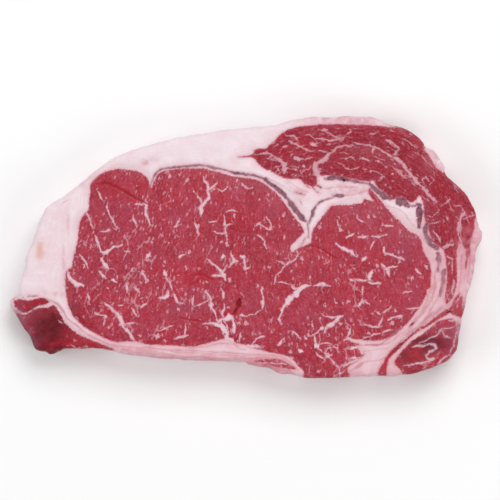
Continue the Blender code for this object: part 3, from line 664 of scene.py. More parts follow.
def nearest_sample(points, samples):
    """Index of the nearest sample for each point, worked out a chunk of points at a time."""
    squares = (samples ** 2).sum(axis=1)[None, :]
    nearest = [np.argmin(squares - 2.0 * (points[i:i + CHUNK] @ samples.T), axis=1)
               for i in range(0, len(points), CHUNK)]
    return np.concatenate(nearest)


def inside(points, edge):
    """True for each point inside a closed edge, by counting the crossings to its right."""
    found = np.zeros(len(points), dtype=bool)
    ax, ay = edge[:, 0], edge[:, 1]
    bx, by = np.roll(ax, -1), np.roll(ay, -1)
    rise = np.where(by == ay, 1.0, by - ay)
    for i in range(0, len(points), CHUNK):
        x, y = points[i:i + CHUNK, :1], points[i:i + CHUNK, 1:]
        spans = (ay > y) != (by > y)
        found[i:i + CHUNK] = (spans & (x < ax + (y - ay) * (bx - ax) / rise)).sum(axis=1) % 2 == 1
    return found


def muscle_depth(points, edge):
    """Distance of each point from a closed edge, positive inside it.

    Close to the edge it is the distance across the edge's direction, which is exact
    between samples. Further off it is the distance to the nearest sample.
    """
    samples = smooth_curve(edge, EDGE_STEP, closed=True)
    along = directions(samples, closed=True)
    low, high = samples.min(axis=0) - FAR, samples.max(axis=0) + FAR
    near = ((points > low) & (points < high)).all(axis=1)
    depth = np.full(len(points), -FAR)
    nearest = nearest_sample(points[near], samples)
    offset = points[near] - samples[nearest]
    across = np.abs(offset[:, 0] * along[nearest, 1] - offset[:, 1] * along[nearest, 0])
    distance = np.maximum(across, np.linalg.norm(offset, axis=1) - EDGE_STEP / 2)
    depth[near] = np.where(inside(points[near], samples), distance, -distance)
    return np.clip(depth, -FAR, FAR)


def line_reach(points, rows, taper=0.5):
    """For a set of lines, three values at each point, in millimetres.

    They are the distance across the nearest line, with a sign for its side, the plain
    distance to it, and its half width there, which tapers towards both ends.
    """
    places, ways, widths = [], [], []
    for width, *numbers in rows:
        line = smooth_curve(np.reshape(numbers, (-1, 2)), LINE_STEP, closed=False)
        along = np.linspace(-1.0, 1.0, len(line))
        places.append(line)
        ways.append(directions(line, closed=False))
        widths.append(width / 2 * (1.0 - taper * along ** 4))
    places, ways, widths = np.vstack(places), np.vstack(ways), np.concatenate(widths)
    nearest = nearest_sample(points, places)
    offset = points - places[nearest]
    across = offset[:, 0] * ways[nearest, 1] - offset[:, 1] * ways[nearest, 0]
    distance = np.linalg.norm(offset, axis=1)
    return np.column_stack([np.clip(across, -FAR, FAR), np.minimum(distance, FAR), widths[nearest]])


def line_cover(reach):
    """How far inside a line each point lies: the half width less the distance."""
    return reach[:, 2] - np.maximum(np.abs(reach[:, 0]), reach[:, 1] - LINE_STEP)


def soft_step(value, low, high):
    """0 below low, 1 above high, and a smooth rise between."""
    t = np.clip((value - low) / (high - low), 0.0, 1.0)
    return t * t * (3.0 - 2.0 * t)


def soft_noise(places, size, seed):
    """Smooth noise from 0 to 1: random values on a repeating lattice, blended between corners."""
    lattice = np.random.default_rng(seed).random((NOISE_CELLS, NOISE_CELLS, NOISE_CELLS))
    scaled = places / size
    cell = np.floor(scaled).astype(int)
    part = scaled - cell
    part = part * part * (3.0 - 2.0 * part)
    value = np.zeros(len(places))
    for step in np.ndindex(2, 2, 2):
        weight = np.where(step, part, 1.0 - part).prod(axis=1)
        x, y, z = ((cell + step) % NOISE_CELLS).T
        value += weight * lattice[x, y, z]
    return value


def noise_layers(places, layers):
    """Sum of noises about zero, each with its size, weight and seed."""
    return sum(weight * (soft_noise(places, size, seed) - 0.5) for size, weight, seed in layers)


def crook(places, sizes, reaches, seed):
    """Sideways shifts that make straight lines crooked: noise of several sizes, each with its reach."""
    shifts = [noise_layers(places, [(size, reach, seed + 2 * i + axis)
                                    for i, (size, reach) in enumerate(zip(sizes, reaches))])
              for axis in (0, 1)]
    return np.column_stack(shifts)


def spots(points, rows):
    """Sum of oval bumps, each falling off as the exponential of the squared distance."""
    total = np.zeros(len(points))
    for x, y, radius_x, radius_y, strength in rows:
        oval = ((points[:, 0] - x) / radius_x) ** 2 + ((points[:, 1] - y) / radius_y) ** 2
        total += strength * np.exp(-oval)
    return total


def face_height(points):
    """Height of the cut face without its fine grain, by the solid's own formula.

    Muscles rise away from the seams, the seams are grooves, the tail falls away from its
    line, and the corner muscle lies in an oval hollow.
    """
    lines = [smooth_curve(edge, EDGE_STEP, closed=True) for edge in (EYE, TAIL, CORNER_STREAK)]
    cap_edge = CAP[-30:] + CAP[:2]
    lines += [smooth_curve(seam, EDGE_STEP, closed=False) for seam in (WEDGE_SEAM, CAP_SEAM, cap_edge)]
    samples = np.vstack(lines)
    gap = np.linalg.norm(points - samples[nearest_sample(points, samples)], axis=1)
    height = THICKNESS - MUSCLE_SWELL * np.exp(-(gap / MUSCLE_SPREAD) ** 2)
    height -= SEAM_DEPTH * np.exp(-(gap / SEAM_WIDTH) ** 2)
    past_line = (points - TAIL_LINE_POINT) @ np.array(TAIL_LINE_NORMAL)
    height -= TAIL_DROP * soft_step(past_line, 0.0, TAIL_REACH)
    height -= spots(points, [HOLLOW])
    waves = np.sin(points[:, 0] / LONG_WAVE_REACH[0]) * np.cos(points[:, 1] / LONG_WAVE_REACH[1])
    return height + LONG_WAVE * (waves - 1.0)


def rim_loop(count):
    """The outline at equal steps, anticlockwise from the start corner, and its inward normals.

    The normals come from a copy of the outline smoothed over a few millimetres, and are
    shorter where the outline bends tightly, so that rings moved in along them don't cross.
    """
    fine = smooth_curve(OUTLINE[::-1], EDGE_STEP, closed=True)
    first = np.argmin(np.linalg.norm(fine - START_CORNER, axis=1))
    fine = np.roll(fine, -first, axis=0)
    fine = np.vstack([fine, fine[:1]])
    length = path_length(fine)[-1]
    loop = sample_path(fine, np.linspace(0.0, length, count, endpoint=False))
    waves = 2 * np.pi * np.fft.fftfreq(count, d=length / count)
    keep = np.exp(-(waves * RIM_BLUR) ** 2 / 2)[:, None]

    def blurred(values):
        return np.fft.ifft(np.fft.fft(values, axis=0) * keep, axis=0).real

    smooth = blurred(loop)
    ahead, behind = np.roll(smooth, -1, axis=0), np.roll(smooth, 1, axis=0)
    along = ahead - behind
    step = np.linalg.norm(along, axis=1)[:, None] / 2
    along = along / (2 * step)
    bend = np.linalg.norm(ahead - 2 * smooth + behind, axis=1)[:, None] / step ** 2
    room = 1.0 / np.maximum(1.0, blurred(bend) * BEND_ROOM)
    return loop, np.column_stack([-along[:, 1], along[:, 0]]) * room


def grid_inside(loop, along, across):
    """A grid of points whose border is the loop, as rows from the lower edge to the upper.

    It starts as the sum of the blends between opposite edges less the blend of the four
    corners, and is then evened out by moving each inner point to the mean of its neighbours.
    """
    closed = np.vstack([loop, loop[:1]])
    lower = closed[:along + 1]
    right = closed[along:along + across + 1]
    upper = closed[along + across:2 * along + across + 1][::-1]
    left = closed[2 * along + across:][::-1]
    u = np.linspace(0.0, 1.0, along + 1)[None, :, None]
    v = np.linspace(0.0, 1.0, across + 1)[:, None, None]
    corners = ((1 - u) * (1 - v) * lower[0] + u * (1 - v) * lower[-1]
               + (1 - u) * v * upper[0] + u * v * upper[-1])
    grid = (1 - v) * lower[None] + v * upper[None] + (1 - u) * left[:, None] + u * right[:, None] - corners
    for _ in range(RELAX_ROUNDS):
        grid[1:-1, 1:-1] = (grid[:-2, 1:-1] + grid[2:, 1:-1] + grid[1:-1, :-2] + grid[1:-1, 2:]) / 4
    return grid.reshape(-1, 2)


def grid_index(along, across):
    """Indices of a grid's points, as rows."""
    return np.arange((along + 1) * (across + 1)).reshape(across + 1, along + 1)


def border_index(along, across):
    """Indices of a grid's border, anticlockwise from its first corner."""
    index = grid_index(along, across)
    return np.concatenate([index[0, :-1], index[:-1, -1], index[-1, :0:-1], index[:0:-1, 0]])


def grid_faces(along, across):
    """Four-sided faces of a grid, facing up."""
    index = grid_index(along, across)
    return np.stack([index[:-1, :-1], index[:-1, 1:], index[1:, 1:], index[1:, :-1]], axis=-1).reshape(-1, 4)


def ring_faces(upper, lower):
    """Four-sided faces between two rings of equal count, facing out."""
    return np.column_stack([lower, np.roll(lower, -1), np.roll(upper, -1), upper])


def halving_faces(upper, lower):
    """Triangles between a ring and a lower ring with half as many points, facing out."""
    first, middle, last = upper[0::2], upper[1::2], np.roll(upper[0::2], -1)
    next_low = np.roll(lower, -1)
    corners = ((first, lower, middle), (lower, next_low, middle), (next_low, last, middle))
    return np.vstack([np.column_stack(three) for three in corners])


def rim_rings(loop, inward, edge_height, station):
    """Rings from the edge of the cut face to the underside, each as points, inset and run.

    The upper shoulder is a quarter circle below the cut face, the wall runs straight down
    and the lower shoulder is a quarter circle onto the underside. The run is the distance
    travelled down the rim. Below the upper shoulder the rings have half the points, and on
    the lower shoulder a quarter of them.
    """
    rings = []

    def add_ring(skip, inset, height, run):
        place = loop[::skip] + inward[::skip] * inset
        level = np.zeros(len(place))
        rings.append({"skip": skip, "inset": inset, "place": place, "height": height + level,
                      "run": run + level, "station": station[::skip]})

    for turn in np.linspace(0.0, np.pi / 2, FINE_RINGS + 1)[1:]:
        drop = TOP_RADIUS * (1 - math.cos(turn))
        add_ring(1, TOP_RADIUS * (1 - math.sin(turn)), edge_height - drop, TOP_RADIUS * turn)
    top_run = TOP_RADIUS * np.pi / 2
    wall_top = edge_height - TOP_RADIUS
    for share in np.linspace(0.0, 1.0, MIDDLE_RINGS + 1)[1:]:
        height = wall_top[::2] * (1 - share) + BASE_RADIUS * share
        add_ring(2, 0.0, height, top_run + share * (wall_top[::2] - BASE_RADIUS))
    for turn in np.linspace(0.0, np.pi / 2, COARSE_RINGS + 1)[1:]:
        run = top_run + wall_top[::4] - BASE_RADIUS + BASE_RADIUS * turn
        add_ring(4, BASE_RADIUS * (1 - math.cos(turn)), BASE_RADIUS * (1 - math.sin(turn)), run)
    return rings


def shape_steak():
    """Places, faces and map of the whole piece, all in millimetres.

    The cut face is a grid inside the outline, the rim is a set of rings, and the underside
    is a coarser grid. For each vertex the result also has the spot of the cut face that it
    continues, and its outward direction on the rim.
    """
    border = 2 * (CELLS_ALONG + CELLS_ACROSS)
    loop, inward = rim_loop(border)
    station = np.arange(border) / border
    top = grid_inside(loop + inward * TOP_RADIUS, CELLS_ALONG, CELLS_ACROSS)
    top_height = face_height(top)
    top_border = border_index(CELLS_ALONG, CELLS_ACROSS)
    rings = rim_rings(loop, inward, top_height[top_border], station)
    last = rings.pop()
    base = grid_inside(last["place"], CELLS_ALONG // 4, CELLS_ACROSS // 4)
    base_border = border_index(CELLS_ALONG // 4, CELLS_ACROSS // 4)

    top_wall = np.zeros_like(top)
    top_wall[top_border, 0] = station
    sheets = [(np.column_stack([top, top_height]), top, np.zeros_like(top), top_wall, top)]
    for ring in rings:
        line, inner = loop[::ring["skip"]], inward[::ring["skip"]]
        sheets.append((np.column_stack([ring["place"], ring["height"]]),
                       line + inner * max(ring["inset"], RIM_READS), -inner,
                       np.column_stack([ring["station"], ring["run"]]),
                       line + inner * (TOP_RADIUS - ring["run"][:, None])))
    base_wall = np.zeros_like(base)
    base_wall[base_border] = np.column_stack([last["station"], last["run"]])
    sheets.append((np.column_stack([base, np.zeros(len(base))]), base, np.zeros_like(base), base_wall, base))
    places, source, outward, wall_map, top_map = (np.vstack(column) for column in zip(*sheets))

    starts = np.cumsum([0] + [len(sheet[0]) for sheet in sheets])
    index = [top_border]
    index += [np.arange(starts[i], starts[i + 1]) for i in range(1, len(sheets) - 1)]
    index.append(starts[-2] + base_border)
    quads = [(grid_faces(CELLS_ALONG, CELLS_ACROSS), "top")]
    triangles = []
    for level in range(1, len(index)):
        upper, lower = index[level - 1], index[level]
        part = "top" if level <= FINE_RINGS else "wall"
        if len(upper) == len(lower):
            quads.append((ring_faces(upper, lower), part))
        else:
            triangles.append((halving_faces(upper, lower), part))
    quads.append((grid_faces(CELLS_ALONG // 4, CELLS_ACROSS // 4)[:, ::-1] + starts[-2], "base"))
    maps = {"top": top_map, "wall": wall_map, "base": source}
    return places, source, outward, quads + triangles, maps


def lay_out_map(part, corners, maps):
    """Map place of each face corner: the cut face above, the underside below it, the rim as a strip."""
    places = maps[part][corners]
    if part == "wall":
        around = places[..., 0]
        wrapped = (around.max(axis=1) - around.min(axis=1) > 0.5)[:, None] & (around < 0.5)
        across = (around + wrapped) * WALL_MAP_WIDTH
        return np.stack([across, WALL_MAP_TOP - places[..., 1] * WALL_MAP_SCALE], axis=-1).reshape(-1, 2)
    if part == "top":
        return (TOP_MAP_CENTRE + places * TOP_MAP_SCALE).reshape(-1, 2)
    return (BASE_MAP_CENTRE + places * BASE_MAP_SCALE).reshape(-1, 2)


def make_mesh(name, places, groups, maps):
    """A mesh from whole arrays of places and groups of faces, with the bake's map."""
    mesh = bpy.data.meshes.new(name)
    corners = np.concatenate([faces.ravel() for faces, _ in groups])
    sizes = np.concatenate([np.full(len(faces), faces.shape[1]) for faces, _ in groups])
    mesh.vertices.add(len(places))
    mesh.vertices.foreach_set("co", places.astype(np.float32).ravel())
    mesh.loops.add(len(corners))
    mesh.loops.foreach_set("vertex_index", corners.astype(np.int32))
    mesh.polygons.add(len(sizes))
    mesh.polygons.foreach_set("loop_start", (np.cumsum(sizes) - sizes).astype(np.int32))
    mesh.polygons.foreach_set("use_smooth", np.ones(len(sizes), dtype=bool))
    mesh.update(calc_edges=True)
    mesh.validate()
    layer = mesh.uv_layers.new(name="OFBake")
    spread = np.vstack([lay_out_map(part, faces, maps) for faces, part in groups])
    layer.data.foreach_set("uv", spread.astype(np.float32).ravel())
    return mesh


def store(mesh, name, values):
    """Puts a number or a vector for each vertex into the mesh."""
    values = np.asarray(values, dtype=np.float32)
    if values.ndim == 1:
        mesh.attributes.new(name, "FLOAT", "POINT").data.foreach_set("value", values)
    else:
        mesh.attributes.new(name, "FLOAT_VECTOR", "POINT").data.foreach_set("vector", values.ravel())


def fibre_places(points, height, in_cap):
    """Places along the muscle's grain, in millimetres: across it, along it and up.

    In the eye the grain fans out from a point far above the steak. In the cap it runs
    round the curve of the muscle.
    """
    fan = points - FAN_CENTRE
    bow = points - BOW_CENTRE
    fan_turn = np.arctan2(fan[:, 0], -fan[:, 1]) * FAN_RADIUS
    bow_turn = np.arctan2(bow[:, 1], bow[:, 0]) * BOW_RADIUS
    eye_grain = np.column_stack([fan_turn, np.linalg.norm(fan, axis=1)])
    cap_grain = np.column_stack([np.linalg.norm(bow, axis=1), bow_turn])
    return np.column_stack([np.where(in_cap[:, None], cap_grain, eye_grain), height])


def read_lines(places, spot):
    """Reach of each kind of line at each vertex, with crooked lines of uneven width."""
    reaches = {}
    for name, (rows, taper, sizes, shifts, seed, least, swing, width_size) in LINE_KINDS.items():
        reach = line_reach(spot + crook(places, sizes, shifts, seed), rows, taper)
        reach[:, 2] *= least + swing * soft_noise(places, width_size, seed + WIDTH_SEED_STEP)
        reaches[name] = reach
    return reaches


def face_relief(places, lean, depths):
    """Fine relief of the cut face: its grain, and the lines and pits raised or sunk in it."""
    relief = noise_layers(places, GRAIN_LAYERS) * (FAT_GRAIN + LEAN_GRAIN * soft_step(lean, -0.3, 0.5))
    for name, (rise, low, high) in LINE_RELIEF.items():
        relief += rise * soft_step(depths[name], low, high)
    return relief


def steak_piece():
    """The whole steak: its shape, its relief and what its material reads at each vertex."""
    places, source, outward, groups, maps = shape_steak()
    down = 1.0 - places[:, 2] / THICKNESS
    drift = np.column_stack([soft_noise(places, DRIFT_SIZE, seed) - 0.5 for seed in DRIFT_SEEDS])
    spot = source + drift * DRIFT * soft_step(down, 0.1, 0.9)[:, None]

    muscles = np.column_stack([muscle_depth(spot, edge) for edge in MUSCLES])
    lean = np.maximum(muscles.max(axis=1), line_cover(line_reach(spot, LEAN_WISPS)))
    lines = read_lines(places, spot)
    depths = {name: line_cover(reach) for name, reach in lines.items()}
    depths["tear"] = line_cover(line_reach(spot, TEAR))
    depths["pits"] = line_cover(line_reach(spot, PITS))

    upper = soft_step(1.0 - down, 0.55, 0.8)
    places[:, 2] += face_relief(places, lean, depths) * upper
    bumps = noise_layers(places, RIM_LAYERS) * RIM_BUMPS
    places[:, :2] -= outward * (bumps * np.linalg.norm(outward, axis=1))[:, None]

    low, high = places[:, :2].min(axis=0), places[:, :2].max(axis=0)
    centre = (low + high) / 2
    box_low, box_high = (np.array(corner[:2]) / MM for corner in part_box("steak"))
    places[:, :2] = (places[:, :2] - centre) * ((box_high - box_low) / (high - low))
    maps = {"top": maps["top"] - centre, "wall": maps["wall"], "base": maps["base"] - centre}
    mesh = make_mesh("ribeye", places * MM, groups, maps)

    x, y = spot.T
    in_cap = muscles[:, 1] > muscles[:, 0]
    values = {
        "pit_depth": depths["pits"],
        "tear_depth": depths["tear"],
        "unused": np.zeros(len(places)),
        "darkness": spots(spot, DARK_SPOTS),
        "pinkness": np.maximum(soft_step(-y, *PINK_DOWN) * soft_step(x, *PINK_FROM_TAIL),
                               soft_step(x, *PINK_RIGHT) * soft_step(-y, *PINK_BELOW_CAP)),
        "crowding": spots(spot, FLECK_SPOTS) - CAP_FEWER_FLECKS * in_cap,
        "redness": spots(spot, RED_SPOTS),
        "mauveness": spots(spot, MAUVE_SPOTS),
        "cap_share": soft_step(muscles[:, 1], -1.0, 2.0),
        "tan": spots(spot, TAN_SPOTS),
        "flush": spots(spot, FLUSH_SPOTS),
        "membrane": spots(spot, MEMBRANE_AND_HIGHLIGHT_SPOTS),
    }
    for name, labels in STORED_TOGETHER.items():
        store(mesh, name, np.column_stack([values[label] for label in labels]))
    for name, reach in lines.items():
        store(mesh, name, reach)
    store(mesh, "lean", lean)
    store(mesh, "rim", 1.0 - upper)
    store(mesh, "fibre", fibre_places(spot, places[:, 2], in_cap))
    piece = bpy.data.objects.new("ribeye", mesh)
    bpy.context.scene.collection.objects.link(piece)
    return piece


class Wiring:
    """Adds nodes to one tree. Each method but add and split gives the new node's output."""

    def __init__(self, tree):
        self.tree = tree

    def add(self, kind, inputs, **properties):
        """A new node with its properties set and its inputs linked or set."""
        node = self.tree.nodes.new(kind)
        for name, value in properties.items():
            setattr(node, name, value)
        for name, value in inputs.items():
            if isinstance(value, bpy.types.NodeSocket):
                self.tree.links.new(value, node.inputs[name])
            else:
                node.inputs[name].default_value = value
        return node

    def maths(self, operation, *values, clamp=False):
        """A number worked out from others."""
        inputs = dict(enumerate(values))
        return self.add("ShaderNodeMath", inputs, operation=operation, use_clamp=clamp).outputs[0]

    def times(self, first, second, clamp=False):
        """One number times another."""
        return self.maths("MULTIPLY", first, second, clamp=clamp)

    def less(self, first, second, clamp=False):
        """One number less another."""
        return self.maths("SUBTRACT", first, second, clamp=clamp)

    def slope(self, value, rise, start, clamp=False):
        """A start plus the value times a rise."""
        return self.maths("MULTIPLY_ADD", value, rise, start, clamp=clamp)

    def ramp(self, value, low, high):
        """0 below low, 1 above high and a straight rise between."""
        inputs = {"Value": value, "From Min": low, "From Max": high}
        return self.add("ShaderNodeMapRange", inputs).outputs["Result"]

    def vectors(self, operation, first, second):
        """A vector worked out from two others."""
        return self.add("ShaderNodeVectorMath", {0: first, 1: second}, operation=operation).outputs[0]

    def split(self, vector):
        """The three parts of a vector."""
        return self.add("ShaderNodeSeparateXYZ", {0: vector}).outputs

    def noise(self, vector, scale, detail=2.0, roughness=0.5, distortion=0.0, output="Fac"):
        """Noise from 0 to 1."""
        inputs = {"Vector": vector, "Scale": scale, "Detail": detail, "Roughness": roughness,
                  "Distortion": distortion}
        return self.add("ShaderNodeTexNoise", inputs).outputs[output]

    def blend(self, under, over, share):
        """A share of one colour over another."""
        return self.add("ShaderNodeMix", {0: share, 6: under, 7: over}, data_type="RGBA").outputs[2]

    def tint(self, under, over, mask, strength):
        """A colour laid over another where the mask is, as strongly as given."""
        return self.blend(under, over, self.times(mask, strength, clamp=True))

    def group(self, tree, **inputs):
        """A placed node group."""
        return self.add("ShaderNodeGroup", inputs, node_tree=tree).outputs[0]

    def warped(self, vector, size, scale, fineness, reach):
        """A vector shifted by noise finer than the cells of a pattern, by a share of their size."""
        lumps = self.noise(vector, self.times(scale, fineness), detail=3.0, output="Color")
        offset = self.vectors("SUBTRACT", lumps, (0.5, 0.5, 0.5))
        inputs = {0: offset, "Scale": self.times(size, reach)}
        shift = self.add("ShaderNodeVectorMath", inputs, operation="SCALE").outputs[0]
        return self.vectors("ADD", vector, shift)


def new_group(name, output, *numbers, vector="Vector"):
    """An empty node group that takes a vector and numbers: its wiring, its inputs and its result."""
    tree = bpy.data.node_groups.new(name, "ShaderNodeTree")
    tree.interface.new_socket(vector, in_out="INPUT", socket_type="NodeSocketVector")
    for label in numbers:
        tree.interface.new_socket(label, in_out="INPUT", socket_type="NodeSocketFloat")
    tree.interface.new_socket(output, in_out="OUTPUT", socket_type="NodeSocketFloat")
    return Wiring(tree), tree.nodes.new("NodeGroupInput").outputs, tree.nodes.new("NodeGroupOutput").inputs[0]


def ragged_edge_group():
    """Mask from a depth: 1 inside, 0 outside, with an edge that wobbles with noise."""
    nodes, given, result = new_group("ragged_edge", "Mask", "Depth", "Size", "Wobble", "Softness")
    lumps = nodes.noise(given["Vector"], nodes.maths("DIVIDE", 1.0, given["Size"]), 3.0, 0.6)
    shift = nodes.times(nodes.less(lumps, 0.5), nodes.times(given["Wobble"], 4.0))
    depth = nodes.maths("ADD", given["Depth"], shift)
    share = nodes.maths("DIVIDE", depth, nodes.times(given["Softness"], 2.0))
    nodes.tree.links.new(nodes.maths("ADD", share, 0.5, clamp=True), result)
    return nodes.tree


def line_depth_group():
    """How deep inside a line a spot lies, from its stored reach: half width less distance."""
    nodes, given, result = new_group("line_depth", "Depth", vector="Reach")
    across, distance, half_width = nodes.split(given["Reach"])
    past_end = nodes.less(distance, PAST_END)
    reach = nodes.maths("MAXIMUM", nodes.maths("ABSOLUTE", across), past_end)
    nodes.tree.links.new(nodes.less(half_width, reach), result)
    return nodes.tree


def flecks_group():
    """Scattered flecks: in each cell of a Voronoi pattern one fleck, of its own size, or none."""
    nodes, given, result = new_group("flecks", "Mask", "Size", "Amount", "Softness")
    scale = nodes.maths("DIVIDE", 1.0, given["Size"])
    place = nodes.warped(given["Vector"], given["Size"], scale, 3.0, 0.9)
    cells = nodes.add("ShaderNodeTexVoronoi", {"Vector": place, "Scale": scale, "Randomness": 1.0}).outputs
    chance, breadth, _ = nodes.add("ShaderNodeSeparateColor", {0: cells["Color"]}).outputs
    radius = nodes.slope(breadth, 0.25, 0.10)
    there = nodes.maths("LESS_THAN", chance, given["Amount"])
    gap = nodes.times(nodes.less(radius, cells["Distance"]), given["Size"])
    share = nodes.maths("DIVIDE", gap, given["Softness"])
    nodes.tree.links.new(nodes.times(nodes.maths("ADD", share, 0.5, clamp=True), there), result)
    return nodes.tree


def vein_net_group():
    """Thin broken veins: parts of the borders between warped Voronoi cells, kept where noise is high."""
    nodes, given, result = new_group("vein_net", "Mask", "Size", "Width", "Amount")
    scale = nodes.maths("DIVIDE", 1.0, given["Size"])
    place = nodes.warped(given["Vector"], given["Size"], scale, 2.5, 0.45)
    cells = nodes.add("ShaderNodeTexVoronoi", {"Vector": place, "Scale": scale, "Randomness": 1.0},
                      feature="DISTANCE_TO_EDGE").outputs
    gap = nodes.times(cells["Distance"], given["Size"])
    keep = nodes.noise(given["Vector"], nodes.times(scale, 1.3))
    over = nodes.less(nodes.maths("ADD", keep, given["Amount"]), 1.0)
    width = nodes.times(nodes.times(over, 6.0, clamp=True), given["Width"])
    share = nodes.maths("DIVIDE", nodes.less(width, gap), 0.16)
    there = nodes.maths("GREATER_THAN", over, 0.0)
    nodes.tree.links.new(nodes.times(nodes.maths("ADD", share, 0.5, clamp=True), there), result)
    return nodes.tree


def read_surface(nodes):
    """The vertex values, noises, line depths and ragged edges that the colours use, by name."""
    at = {}
    for name in ("lean", "rim"):
        at[name] = nodes.add("ShaderNodeAttribute", {}, attribute_name=name).outputs["Fac"]
    for name in ("fibre", *LINE_KINDS, *STORED_TOGETHER):
        at[name] = nodes.add("ShaderNodeAttribute", {}, attribute_name=name).outputs["Vector"]
    for name, labels in STORED_TOGETHER.items():
        at.update(zip(labels, nodes.split(at[name])))

    metres = nodes.add("ShaderNodeTexCoord", {}).outputs["Object"]
    at["spot"] = nodes.vectors("MULTIPLY", metres, (1 / MM, 1 / MM, 1 / MM))
    at["loose_fibre"] = nodes.vectors("MULTIPLY", at["fibre"], LOOSE_FIBRE)
    at["wide_fibre"] = nodes.vectors("MULTIPLY", at["fibre"], WIDE_FIBRE)
    layers = nodes.add("ShaderNodeCombineXYZ", {0: nodes.times(at["lean"], LAYERS_ALONG_EDGE)}).outputs[0]
    at["layers"] = nodes.vectors("ADD", layers, nodes.vectors("MULTIPLY", at["spot"], LAYERS_DRIFT))
    for name, (follows, stretch, size, *kind) in NOISES.items():
        at[name] = nodes.noise(nodes.vectors("MULTIPLY", at[follows], stretch), 1.0 / size, *kind)

    line_depth = line_depth_group()
    for name in LINE_KINDS:
        at[name + "_depth"] = nodes.group(line_depth, Reach=at[name])
    ragged_edge = ragged_edge_group()
    for name, (depth, follows, size, wobble, softness) in EDGES.items():
        at[name] = nodes.group(ragged_edge, Vector=at[follows], Depth=at[depth], Size=size, Wobble=wobble,
                               Softness=softness)
    return at


def layered(nodes, at, colour, rows):
    """A colour with a table's colours laid over it in turn."""
    for name, low, high, strength, over in rows:
        colour = nodes.tint(colour, over, nodes.ramp(at[name], low, high), strength)
    return colour


def stained(nodes, at, colour, rows):
    """A colour with a table's stains laid over it, each broken up by the lumps. One table is the membrane,
    which is partly a painted highlight.
    """
    for name, low, high, strength, over in rows:
        amount = nodes.times(at[name], nodes.ramp(at["lumps"], low, high))
        colour = nodes.tint(colour, over, amount, strength)
    return colour


def lean_colour(nodes, at):
    """Red of the lean: its bundles and grain, and where it is darker, redder or mauve."""
    lean = nodes.blend(LEAN_DEEP, LEAN_BRIGHT, nodes.ramp(at["bundles"], 0.32, 0.70))
    lean = layered(nodes, at, lean, LEAN_LAYERS)
    dark_grain = nodes.slope(at["speckle"], 0.5, nodes.times(at["lumps"], 0.5))
    dark_meat = nodes.blend(DARK_MEAT, DARK_MEAT_PALE, nodes.ramp(dark_grain, 0.36, 0.66))
    lean = nodes.tint(lean, dark_meat, at["darkness"], 0.95)
    return stained(nodes, at, lean, LEAN_STAINS)


def marbling(nodes, at, lean):
    """The lean with its marbling: flecks of two sizes, thin veins and the strands that stand out."""
    beside_strand = nodes.ramp(at["strands_depth"], -2.6, -0.4)
    amount = nodes.slope(at["crowding"], NET_CROWDED, NET_AMOUNT)
    amount = nodes.slope(beside_strand, NET_BESIDE_STRAND, amount)
    net = nodes.group(vein_net_group(), Vector=at["loose_fibre"], Size=NET_SIZE, Width=NET_WIDTH,
                      Amount=amount)
    cover = nodes.times(net, NET_STRENGTH)
    flecks = flecks_group()
    for follows, size, softness, share, crowded, strength in FLECKS:
        found = nodes.group(flecks, Vector=at[follows], Size=size, Softness=softness,
                            Amount=nodes.slope(at["crowding"], crowded, share))
        cover = nodes.maths("MAXIMUM", cover, nodes.times(found, strength))
    at["fleck_cover"] = nodes.times(cover, nodes.less(1.0, at["darkness"], clamp=True))
    lean = nodes.blend(lean, STRAND_FAT, at["fleck_cover"])
    core = nodes.times(nodes.ramp(at["strands_depth"], 0.1, 0.8), nodes.slope(at["cap_share"], -0.6, 1.0))
    strand_cover = nodes.times(at["strand"], nodes.slope(at["cap_share"], -0.20, 0.89))
    lean = nodes.blend(lean, nodes.blend(STRAND_FAT, STRAND_CORE, core), strand_cover)
    lean = nodes.tint(lean, CUT_RED, at["cut"], 0.78)
    return nodes.tint(lean, TEAR_RED, at["torn"], 0.92)


def fat_colour(nodes, at):
    """Fat: white at the top left, pinker below and on the right, in layers along the muscles."""
    thin_fat = nodes.times(nodes.ramp(at["lean"], -4.5, -0.5), 0.32)
    mottled = nodes.slope(nodes.ramp(at["mottle"], 0.40, 0.75), 0.34, thin_fat)
    fat = nodes.blend(FAT_WHITE, FAT_PINK, nodes.slope(at["pinkness"], 0.62, mottled, clamp=True))
    lined = nodes.times(nodes.ramp(at["layer_lines"], 0.52, 0.72), nodes.slope(at["pinkness"], 0.42, 0.12))
    fat = nodes.blend(fat, FAT_LINE, lined)
    fat = stained(nodes, at, fat, FAT_STAINS)
    fat = nodes.tint(fat, VEIN_RED, at["vein"], 0.55)
    return layered(nodes, at, fat, FAT_LAYERS)


